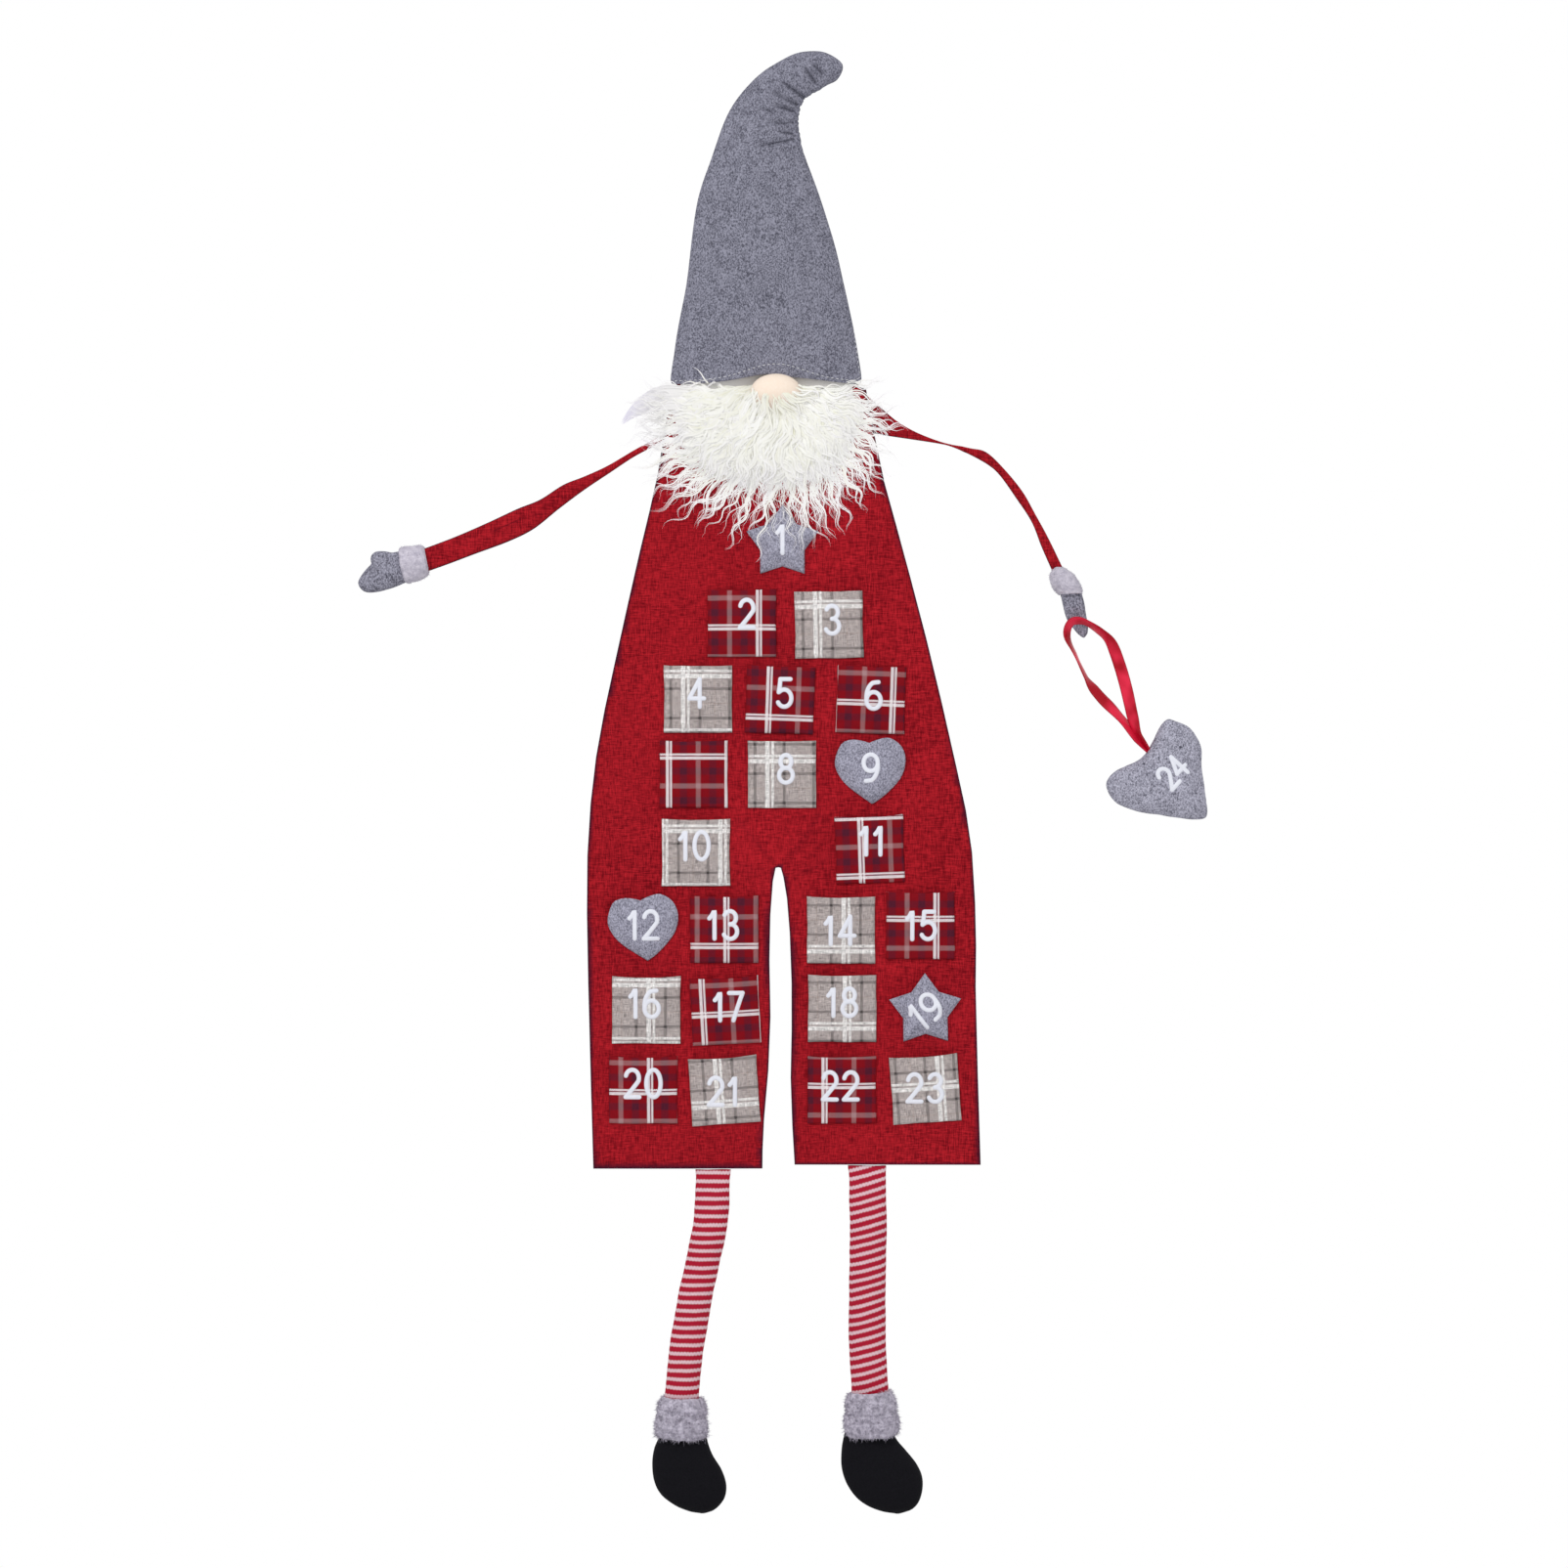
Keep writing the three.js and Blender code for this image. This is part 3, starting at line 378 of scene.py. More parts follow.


# Paints shade on a cloth along its folds and sinks it there: both ends in X and Z, in mm, strength, and half
# width in mm
def withFolds(place, folds, colour, height, share, paint):
    if not folds:
        return {"colour": colour, "height": height}
    flat = place.stretched(1, 0, 1)
    marks = []
    for start, end, depth, width in folds:
        ends = {"Start": (start[0] * mm, 0, start[1] * mm), "End": (end[0] * mm, 0, end[1] * mm)}
        fold = {"Vector": flat, "Width": width * mm, "Depth": depth, **ends}
        marks.append(useGroup(foldGroup, fold)["Mark"])
    mark = strongest(marks)
    # Painted shade along the folds, besides the dip in their height
    return {"colour": mixColour(mark * share, colour, paint), "height": mark.timesPlus(-2.0, height)}


# Red linen: dark and light yarn tones, the painted shade along its outline seam, the painted shade in its
# folds, and the weave's pitch
linen = {
    "shadow": (0.17, 0.003, 0.008),
    "light": (0.52, 0.016, 0.026),
    "edge": (0.03, 0.006, 0.02),
    "fold": (0.12, 0.004, 0.012),
    "pitch": 1.4 * mm,
}


def buildLinen(folds):
    def build(coords):
        place = coords["Object"]
        weave = useGroup(weaveGroup, {"Vector": place, "Pitch": linen["pitch"]})
        tone = (weave["Slubs"] + (place.grain(14.0, 2.0) - 0.5) * 0.5).clamped()
        colour = mixColour(tone, linen["shadow"], linen["light"])
        made = withFolds(place, folds, colour, weave["Height"], 0.7, linen["fold"])
        # Painted shade along the outline seam, where the rim attribute is set
        rim = place.make("ShaderNodeAttribute", {}, "Fac", attribute_name="rim")
        return {"colour": mixColour(rim, made["colour"], linen["edge"]), "height": made["height"]}

    return build


# The sleeve's closing seam, and the soft creases that fan out over the crotch, each with painted shade along
# it
sleeveFolds = [((-209, -325), (-236, -337), 0.9, 0.9), ((-191, -309), (-205, -318), 0.25, 2.5)]
trouserFolds = [
    ((-7, -610), (-36, -573), 0.35, 4),
    ((2, -612), (30, -570), 0.3, 4),
    ((-10, -622), (-52, -600), 0.25, 5),
    ((8, -622), (50, -596), 0.25, 5),
]
# Gathered folds in the bend of the hat, where the felt is painted with shade
hatFolds = [
    ((-23.5, -24), (9.5, -16.5), 1.0, 1.5),
    ((-2, -11), (8, -12), 0.9, 1.6),
    ((-16, 9), (-8, 5), 0.7, 1.5),
    ((-7, 11), (9, 6.5), 1.0, 1.7),
    ((-3, 32), (18, 18), 1.0, 1.5),
    ((17, 44), (27, 30), 1.0, 1.5),
    ((24, 46), (33, 37), 0.8, 1.5),
    ((-10, 22), (12, 12), 0.7, 1.5),
    ((-14, -4), (9, -3), 0.6, 1.5),
]
# Felt: the painted shade in its folds, the colour of its dark specks, and where and how sharply the specks
# start
felt = {"fold": (0.03, 0.03, 0.045), "speck": (0.05, 0.05, 0.075), "speckFrom": 0.40, "speckGain": 9.0}


def buildGreyFelt(dark, light, specks, folds):
    def build(coords):
        place = coords["Object"]
        matted = useGroup(feltGroup, {"Vector": place})
        colour = mixColour(matted["Tone"].clamped(), dark, light)
        if specks:
            spots = ((felt["speckFrom"] - place.grain(330.0, 2.0)) * felt["speckGain"]).clamped()
            colour = mixColour(spots * specks, colour, felt["speck"])
        return withFolds(place, folds, colour, matted["Height"], 0.85, felt["fold"])

    return build


# A band of a repeating cloth: 1 where the fraction lies within the half width of the middle
def band(fraction, middle, half):
    gap = (fraction - middle).size()
    return gap.calc("MINIMUM", 1.0 - gap).below(half)


# Tartan from one thread count for warp and weft, mixed by the twill's diagonal
def buildTartan(sett):
    def build(coords):
        sheet = coords["UV"]
        runs = sheet.split()[:2]
        twill = ((runs[0] + runs[1]) / sett["twill"]).fraction()
        colours, masks = [], []
        for run, other in (runs, runs[::-1]):
            wobble = (other / sett["twill"]).fraction()
            fraction = (wobble.timesPlus(0.35 * mm, run) / sett["repeat"]).fraction()
            colour = sett["ground"]
            for middle, half, paint, share in sett["bands"]:
                colour = mixColour(band(fraction, middle, half) * share, colour, paint)
            colours.append(colour)
            masks.append(strongest([band(fraction, *line) for line in sett["lines"]]))
        colour = mixColour(twill.below(0.5), *colours)
        for mask, gap in zip(masks, (twill, 1.0 - twill)):
            colour = mixColour(mask * gap.below(sett["cover"]), colour, sett["line"])
        fibre = sheet.stretched(1100, 1100, 1).grain(detail=2.0)
        dust = (fibre - 0.5).timesPlus(sett["dust"], 1.0)
        for run in ((1500, 170, 1), (170, 1500, 1)):
            dust = (sheet.stretched(*run).grain(detail=2.0) - 0.5).timesPlus(sett["slub"], dust)
        return {"colour": dusted(colour, dust), "height": twill.timesPlus(0.5, fibre)}

    return build


# Lines and bands: middle and half width as shares of the repeat, then a band's colour and strength
redSett = {
    "repeat": 48 * mm,
    "twill": 1.5 * mm,
    "ground": (0.24, 0.004, 0.010),
    "line": (0.86, 0.80, 0.82),
    "lines": [(-0.036, 0.016), (0.036, 0.016)],
    "bands": [
        (0.0, 0.026, (0.20, 0.05, 0.09), 0.9),
        (0.25, 0.06, (0.05, 0.012, 0.03), 0.8),
        (0.75, 0.06, (0.05, 0.012, 0.03), 0.8),
        (0.5, 0.042, (0.42, 0.26, 0.27), 0.9),
    ],
    "cover": 0.82,
    "dust": 0.7,
    "slub": 0.5,
}
beigeSett = {
    "repeat": 48 * mm,
    "twill": 1.5 * mm,
    "ground": (0.44, 0.385, 0.375),
    "line": (0.82, 0.80, 0.79),
    "lines": [(-0.052, 0.022), (0.052, 0.022)],
    "bands": [
        (0.25, 0.024, (0.015, 0.013, 0.015), 0.85),
        (0.75, 0.024, (0.015, 0.013, 0.015), 0.85),
        (0.5, 0.012, (0.40, 0.32, 0.29), 0.8),
    ],
    "cover": 0.85,
    "dust": 0.75,
    "slub": 1.7,
}


# Fur whose deeper strands differ from its higher ones, and whose ends differ from both; on the curly fur the
# darker deep colour is painted shade between the locks
def buildFur(deep, pale, tip):
    def build(coords):
        tone, share, _ = coords["UV"].split()
        colour = mixColour(share.calc("POWER", 1.6), mixColour(tone, deep, pale), tip)
        return {"colour": colour, "height": coords["Object"].grain(900.0)}

    return build


# Shades fibres partly as the face that they lie on, as a mass of them looks
def lieFlat(material, share):
    tree = material.node_tree
    relief = tree.nodes["Principled BSDF"].inputs["Normal"].links[0].from_node
    facing = values(tree, node(tree, "ShaderNodeNewGeometry").outputs)["Normal"]
    front = facing.vector("ADD", (0, -share, 0.15 * share)).vector("NORMALIZE")
    feed(tree, relief.inputs["Normal"], front)
    return material


knit = {
    "red": (0.44, 0.012, 0.035),
    "pale": (0.80, 0.56, 0.61),
    "pitch": 7 * mm,
    "stitch": 1.5 * mm,
    "wale": 2.6 * mm,
    "notch": 1.8 * mm,
    "waver": 2.0 * mm,
}


# Striped jersey, its stripes level or slanted across the leg
def buildKnit(slope):
    def build(coords):
        place = coords["Object"]
        x, _, z = place.split()
        notch = ((x / knit["wale"]).fraction() - 0.5).size()
        level = notch.timesPlus(knit["notch"], x.timesPlus(-slope, z))
        stripe = ((level + place.grain(40.0) * knit["waver"]) / knit["pitch"]).fraction()
        side = (stripe - 0.5).size() * 4.0
        colour = mixColour(side.timesPlus(2.4, -2.4).clamped(), knit["red"], knit["pale"])
        courses, wales = [(run * (2 * math.pi / knit["stitch"])).sine() for run in (level, x)]
        fuzz = place.grain(800.0)
        height = (courses * wales).timesPlus(0.5, fuzz)
        return {"colour": dusted(colour, fuzz.timesPlus(0.5, 0.72)), "height": height}

    return build


# Cloth or plush of one colour, mottled by its fibre
def buildPlain(dark, light, scale, roughness=0.65, gain=1.8):
    def build(coords):
        fibre = coords["Object"].grain(scale, 4.0, roughness)
        return {"colour": mixColour(fibre.contrast(gain), dark, light), "height": fibre}

    return build


# Satin: deep crimson, the bright crimson of painted highlight bands, thread and selvedge colours, rib pitch,
# and where the selvedge starts
satin = {
    "deep": (0.42, 0.0, 0.012),
    "bright": (0.88, 0.025, 0.075),
    "thread": (0.30, 0.0, 0.01),
    "selvedge": (0.3, 0.002, 0.01),
    "rib": 0.8 * mm,
    "selvedgeFrom": 4.2 * mm,
}


def buildSatin(coords):
    sheet = coords["UV"]
    across, along, _ = sheet.split()
    ribs = (along * (2 * math.pi / satin["rib"])).sine()
    edge = across.size().calc("GREATER_THAN", satin["selvedgeFrom"])
    fibre = sheet.stretched(1500, 120, 1).grain()
    # Painted highlight: sheen bands along the ribbon, from deep to bright crimson
    paintedSheen = sheet.stretched(45, 28, 1).grain(detail=2.0).contrast(6.0)
    base = mixColour(paintedSheen, satin["deep"], satin["bright"])
    base = mixColour(fibre * 0.25, base, satin["thread"])
    return {"colour": mixColour(edge * 0.5, base, satin["selvedge"]), "height": ribs.timesPlus(0.3, fibre)}


materials = {
    "linen": cloth("redLinen", buildLinen(trouserFolds), bump=0.7, depth=0.35 * mm, specular=0.05),
    "sleeveLinen": cloth("sleeveLinen", buildLinen(sleeveFolds), bump=0.7, depth=0.35 * mm, specular=0.05),
    "redPlaid": cloth("redPlaid", buildTartan(redSett), depth=0.2 * mm),
    "beigePlaid": cloth("beigePlaid", buildTartan(beigeSett), depth=0.2 * mm),
    "knitLevel": cloth("stripedKnit", buildKnit(0.0)),
    "knitSlanted": cloth("slantedKnit", buildKnit(0.28)),
    "satin": cloth("redSatin", buildSatin, roughness=0.35, bump=0.12, depth=0.1 * mm, specular=0.2),
}
# Felts: dark and light colour, strength of their specks, bump and folds
for key, name, dark, light, specks, bump, folds in [
    ("felt", "greyFelt", (0.08, 0.08, 0.108), (0.33, 0.33, 0.41), 0, 0.6, ()),
    ("hatFelt", "hatFelt", (0.08, 0.08, 0.108), (0.33, 0.33, 0.41), 0, 0.6, hatFolds),
    ("paleFelt", "paleGreyFelt", (0.16, 0.157, 0.205), (0.48, 0.475, 0.59), 0, 0.6, ()),
    ("flecked", "fleckedFelt", (0.17, 0.167, 0.215), (0.56, 0.555, 0.67), 0.85, 0.7, ()),
    ("mittenFelt", "mittenFelt", (0.08, 0.078, 0.105), (0.42, 0.415, 0.51), 0.6, 0.7, ()),
]:
    materials[key] = cloth(name, buildGreyFelt(dark, light, specks, folds), 0.95, bump)
# Furs: colours of deep strands, high ones and tips, roughness, bump, specular, and flatness of shading; the
# curly fur's darker, yellower deep colour is painted shade in its hollows
skinTone = (0.98, 0.975, 0.87)
for key, name, tones, roughness, bump, specular, flatness in [
    ("fur", "curlyFur", ((0.86, 0.855, 0.68), (1.0, 1.0, 0.97), (0.96, 0.935, 0.98)), 0.8, 0.1, 0.1, 1.8),
    ("furSkin", "furSkin", (skinTone, skinTone, skinTone), 0.8, 0.05, 0.0, 6.0),
    ("wisp", "smoothFur", ((0.94, 0.93, 0.90), (0.99, 0.98, 0.96), (0.80, 0.77, 0.92)), 0.6, 0.1, 0.3, 0.8),
]:
    materials[key] = lieFlat(cloth(name, buildFur(*tones), roughness, bump, specular=specular), flatness)
for key, name, dark, light in [
    ("plush", "greyPlush", (0.41, 0.385, 0.47), (0.72, 0.68, 0.77)),
    ("darkPlush", "darkPlush", (0.22, 0.20, 0.26), (0.78, 0.73, 0.85)),
]:
    materials[key] = cloth(name, buildPlain(dark, light, 260.0, 0.7, 2.2), 1.0, 0.8, 0.8 * mm, 0.1)
# Plain cloths: dark and light colour, scale of the fibre, bump and specular
for key, name, dark, light, scale, bump, specular in [
    ("boot", "blackFabric", (0.002, 0.002, 0.003), (0.010, 0.0095, 0.013), 1200.0, 0.6, 0.1),
    ("skin", "peachJersey", (0.95, 0.79, 0.65), (0.99, 0.86, 0.74), 500.0, 0.2, 0.1),
    ("white", "whiteNumber", (0.78, 0.80, 0.90), (0.90, 0.91, 0.98), 700.0, 0.2, 0.1),
    ("lining", "lining", (0.70, 0.68, 0.64), (0.82, 0.80, 0.77), 500.0, 0.4, 0.3),
    ("floor", "paleFloor", (0.80, 0.80, 0.80), (0.82, 0.82, 0.82), 20.0, 0.05, 0.3),
    ("thread", "whiteThread", (0.62, 0.62, 0.66), (0.82, 0.82, 0.84), 900.0, 0.3, 0.3),
]:
    materials[key] = cloth(name, buildPlain(dark, light, scale), bump=bump, specular=specular)
print("materials made")


panel = {
    "crotch": Vector((-3 * mm, 0, -612 * mm)),
    "fanDepth": 1.3 * mm,
    "fanReach": 75 * mm,
    "fanFrom": 12 * mm,
    "fanFolds": 5.5,
    "waveDepth": 1.6 * mm,
    "fineDepth": 0.25 * mm,
    "roundEdge": 1.4 * mm,
    # How wide the painted shade along the outline seam reaches
    "edgeShadeWidth": 1.5 * mm,
    "sharpFrom": 0.9,
    "step": 6 * mm,
}


# How far the cloth stands behind its flat plane: creases that fan from the crotch, and slow waves
def clothRelief(x, z):
    dx, dz = x - panel["crotch"].x, z - panel["crotch"].z
    reach = math.hypot(dx, dz)
    angle = math.atan2(dx, max(dz, -0.9 * reach) + 1e-9)
    fan = math.sin(angle * panel["fanFolds"] + 0.6) * math.exp(-reach / panel["fanReach"])
    fan *= clamp(reach / panel["fanFrom"], 0, 1)
    wave = noise.noise(Vector((x * 9 + 3.1, 0.4, z * 5)))
    fine = noise.noise(Vector((x * 30, 4.2, z * 22)))
    return panel["fanDepth"] * fan + panel["waveDepth"] * wave + panel["fineDepth"] * fine


# The edges round a flat solid's face at a level
def faceOutline(bm, level):
    edges = []
    for edge in bm.edges:
        flat = all(abs(v.co.y - level) < 0.05 * mm for v in edge.verts)
        if flat and len(edge.link_faces) == 2:
            normals = [abs(f.normal.y) for f in edge.link_faces]
            if min(normals) < 0.5 < max(normals):
                edges.append(edge)
    return edges


def gridCuts(bm, step):
    low = Vector(min(v.co[i] for v in bm.verts) for i in range(3))
    high = Vector(max(v.co[i] for v in bm.verts) for i in range(3))
    for axis in (0, 2):
        normal = Vector((axis == 0, 0, axis == 2))
        count = int((high[axis] - low[axis]) / step)
        for i in range(1, count + 1):
            place = normal * (low[axis] + i * (high[axis] - low[axis]) / (count + 1))
            geometry = bm.verts[:] + bm.edges[:] + bm.faces[:]
            bmesh.ops.bisect_plane(bm, geom=geometry, dist=0.001 * mm, plane_co=place, plane_no=normal)


def distanceTo(segments, p):
    best = 1.0
    for a, b in segments:
        ab = b - a
        share = clamp((p - a).dot(ab) / max(ab.length_squared, 1e-12), 0, 1)
        best = min(best, (p - a - ab * share).length)
    return best


# Stores on each point how strongly the painted shade of the outline seam lies there
def markRim(mesh, shares):
    rim = mesh.attributes.new("rim", "FLOAT", "POINT")
    rim.data.foreach_set("value", shares)


# A cloth panel: rounded at its outline, cut into a fine grid, laid in soft folds, and marked for painted
# shade along its outline seam
def clothPanel(solid, name, material, level, roundEdge):
    mesh, bm = openSolid(solid, material)
    outline = faceOutline(bm, level)
    segments = [(e.verts[0].co.copy().xz, e.verts[1].co.copy().xz) for e in outline]
    if roundEdge:
        bmesh.ops.bevel(
            bm, geom=outline, offset=roundEdge, segments=3, profile=0.5, affect="EDGES", clamp_overlap=True
        )
    gridCuts(bm, panel["step"])
    for edge in bm.edges:
        if len(edge.link_faces) == 2 and edge.calc_face_angle(0) > panel["sharpFrom"]:
            edge.smooth = False
    edgeShades = []
    for vertex in bm.verts:
        edgeShades.append(clamp(1.3 - distanceTo(segments, vertex.co.xz) / panel["edgeShadeWidth"], 0, 1))
        vertex.co.y += clothRelief(vertex.co.x, vertex.co.z)
    closeSmooth(mesh, bm)
    markRim(mesh, edgeShades)
    return linked(name, mesh)


trousers = clothPanel("front_panel", "trouser_front", materials["linen"], frontY, panel["roundEdge"])
seat(trousers, "calendar", "red_linen", "front_panel")
trouserBack = clothPanel("back_panel", "trouser_back", materials["linen"], backY, 0)
seat(trouserBack, "calendar", "red_linen", "back_panel")
inner = clothPanel("interlining", "panel_interlining", materials["lining"], backY, 0)
seat(inner, "calendar", "lining", "interlining")
print("trousers made")


pockets = {
    "width": 56 * mm,
    "height": 55 * mm,
    "depth": 8 * mm,
    "thickness": 1.2 * mm,
    "gap": 0.3 * mm,
    "wobble": 0.5 * mm,
    "bow": 0.9 * mm,
    "crease": 0.25 * mm,
    "waist": 0.012,
    "thinEdge": 0.5 * mm,
    "steps": 28,
    "starRadius": 31 * mm,
    "starNotch": 0.615,
    "heartWidth": 58 * mm,
    "heartHeight": 54 * mm,
}
# Each pocket: day, kind, middle, turn and, on plaid, how far from its left and top edge the white lines run
pocketTable = [
    (1, "star", 0.3, -346.8, 0, 0, 0),
    (2, "red", -32.8, -412.2, 0, 42, 31),
    (3, "beige", 38.3, -413.5, 1, 19, 11),
    (4, "beige", -68.9, -474.4, 0, 18, 7),
    (5, "red", -1.6, -475.0, -2, 19, 42),
    (6, "red", 72.8, -475.0, -2, 46, 30),
    (7, "red", -72.4, -535.9, 0, 8, 13),
    (8, "beige", 0, -535.9, 0, 18, 15),
    (9, "heart", 72.1, -533.4, 0, 0, 0),
    (10, "beige", -70.5, -600.0, 0, 50, 8),
    (11, "red", 71.8, -597.5, 2, 21, 1),
    (12, "heart", -113.3, -661.9, 4, 0, 0),
    (13, "red", -47.3, -662.9, 0, 30, 41),
    (14, "beige", 48.3, -663.5, 0, 32, 43),
    (15, "red", 113.3, -659.6, 0, 41, 22),
    (16, "beige", -111.1, -728.9, 0, 32, 5),
    (17, "red", -46.4, -729.5, 3, 10, 30),
    (18, "beige", 49.3, -727.6, 0, 32, 42),
    (19, "star", 117.2, -729.5, 1, 0, 0),
    (20, "red", -113.7, -794.3, 0, 34, 29),
    (21, "beige", -47.3, -794.9, 4, 24, 38),
    (22, "red", 48.9, -794.3, 0, 14, 24),
    (23, "beige", 117.2, -793.6, 4, 41, 25),
]


# A sheet from rows of front and back points. Closed rows run right round, and the first of them is filled
def sheetObject(name, rows, material, uvs=None, closed=False):
    columns, offset = len(rows[0]), len(rows) * len(rows[0])
    verts = [pair[side] for side in (0, 1) for row in rows for pair in row]

    def at(i, j):
        return i * columns + j % columns

    faces = []
    last = columns if closed else columns - 1
    for i in range(len(rows) - 1):
        for j in range(last):
            a, b, c, d = at(i, j), at(i, j + 1), at(i + 1, j + 1), at(i + 1, j)
            faces += [(a, b, c, d), (d + offset, c + offset, b + offset, a + offset)]
    border = [[at(len(rows) - 1, j) for j in range(last + 1)]]
    if closed:
        faces += [tuple(reversed(range(columns))), tuple(range(offset, offset + columns))]
    else:
        border.append([at(0, j) for j in reversed(range(columns))])
        border.append([at(i, 0) for i in range(len(rows))])
        border.append([at(i, columns - 1) for i in reversed(range(len(rows)))])
    for ring in border:
        faces += [(b, a, a + offset, b + offset) for a, b in zip(ring, ring[1:])]
    return facingOut(meshObject(name, verts, faces, material, uvs and uvs + uvs))


# A place beside a pocket's middle, turned with the pocket and lifted off the cloth
def placeOn(x, z, turn, dx, dz, lift):
    angle = -math.radians(turn)
    px = x + dx * math.cos(angle) + dz * math.sin(angle)
    pz = z + dz * math.cos(angle) - dx * math.sin(angle)
    return Vector((px, frontY + clothRelief(px, pz) - lift, pz))


# A plaid pocket: sewn flat on its sides and below, and open above
def squarePocket(name, x, z, turn, crossX, crossZ, material, seed):
    steps, width, height = pockets["steps"], pockets["width"], pockets["height"]
    rows, uvs = [], []
    for i in range(steps + 1):
        up = i / steps
        rows.append([])
        for j in range(steps + 1):
            across = 2 * j / steps - 1
            swell = 1 - across * across
            wobble = ripple(Vector((across * 0.03, 0, up * 0.06)), 0.02, seed) * pockets["wobble"]
            dx = across * width / 2 * (1 - pockets["waist"] * math.sin(math.pi * up)) + wobble
            dz = (up - 0.5) * height - pockets["bow"] * swell * max(2 * up - 1, 0) + wobble
            lift = pockets["depth"] * swell * math.sin(up * math.pi / 2)
            crease = pockets["crease"] * ripple(Vector((dx, 0, dz * 2)), 0.012, seed)
            lift = max(lift + crease * swell, 0) + pockets["gap"]
            rows[-1].append([placeOn(x, z, turn, dx, dz, lift + more) for more in (pockets["thickness"], 0)])
            uvs.append((dx + width / 2 - crossX, dz - height / 2 + crossZ))
    return sheetObject(name, rows, material, uvs)


# A star's outline, with points between its corners
def starPoints(perEdge):
    corners = []
    for i in range(10):
        radius = pockets["starRadius"] * (1 if i % 2 == 0 else pockets["starNotch"])
        angle = math.pi / 2 + i * math.pi / 5
        corners.append(Vector((radius * math.cos(angle), radius * math.sin(angle))))
    ring = []
    for a, b in zip(corners, corners[1:] + corners[:1]):
        ring += [a.lerp(b, k / perEdge) for k in range(perEdge)]
    return ring


# The heart's corners from its notch round, as shares of its width and height
heartShares = [
    (-0.014, 0.424), (-0.124, 0.46), (-0.275, 0.472), (-0.412, 0.403), (-0.5, 0.149), (-0.453, -0.045),
    (-0.33, -0.216), (-0.151, -0.366), (0.027, -0.5), (0.165, -0.403), (0.33, -0.239), (0.453, -0.06),
    (0.5, 0.164), (0.44, 0.373), (0.275, 0.5), (0.11, 0.478),
]
heartTip = 8


def heartPoints(perSide):
    corners = [Vector((x * pockets["heartWidth"], z * pockets["heartHeight"])) for x, z in heartShares]
    corners.append(corners[0])
    points = []
    for side in (corners[: heartTip + 1], corners[heartTip:]):
        points += [catmull(side, k / perSide) for k in range(perSide)]
    return points


# A felt pocket: an outline filled by rings, open above and sewn below
def feltPocket(name, x, z, turn, outline, openFrom):
    top = max(p.y for p in outline)
    rows = []
    for share in (0.02, 0.2, 0.4, 0.6, 0.75, 0.88, 0.96, 1.0):
        rows.append([])
        edge = pockets["thinEdge"] if share == 1.0 else 0
        for p in outline:
            openness = clamp((p.y - openFrom) / (top - openFrom), 0, 1)
            dome = (1 - share * share) * 0.8 + share * share * openness
            lift = pockets["gap"] + pockets["depth"] * dome
            place = (x, z, turn, p.x * share, p.y * share)
            rows[-1].append([placeOn(*place, lift + more) for more in (pockets["thickness"] - edge, 0)])
    return sheetObject(name, rows, materials["paleFelt"], closed=True)


# The felt pockets' outlines, and the level from which they stand open
feltOutlines = {"star": (starPoints(6), -3.1 * mm), "heart": (heartPoints(24), -2.7 * mm)}
pocketObjects = {}
for day, shape, x, z, turn, crossX, crossZ in pocketTable:
    solid = f"pocket_{day:02d}"
    if shape in feltOutlines:
        made = feltPocket(f"{solid}_{shape}", x * mm, z * mm, turn, *feltOutlines[shape])
        slot, size, filled = "grey_felt", (0.059, 0.056), 0.6
    else:
        paint = materials[shape + "Plaid"]
        made = squarePocket(solid + "_patch", x * mm, z * mm, turn, crossX * mm, crossZ * mm, paint, day)
        slot, size, filled = shape + "_plaid", (0.056, 0.055), 1
    seat(made, "calendar", slot, solid)
    pocketObjects[day] = made
print("pockets made")


numbers = {"height": 22.5 * mm, "narrow": 0.86, "halfStroke": 1.85 * mm, "rise": 0.45 * mm, "kern": 2.2 * mm}


# An arc of an ellipse in a digit's own square, angles in degrees from the right
def arc(x, y, rx, ry, start, end, steps=14):
    angles = [math.radians(start + (end - start) * i / steps) for i in range(steps + 1)]
    return [(x + rx * math.cos(a), y + ry * math.sin(a)) for a in angles]


def turned(path):
    return [(0.6 - x, 1 - y) for x, y in path]


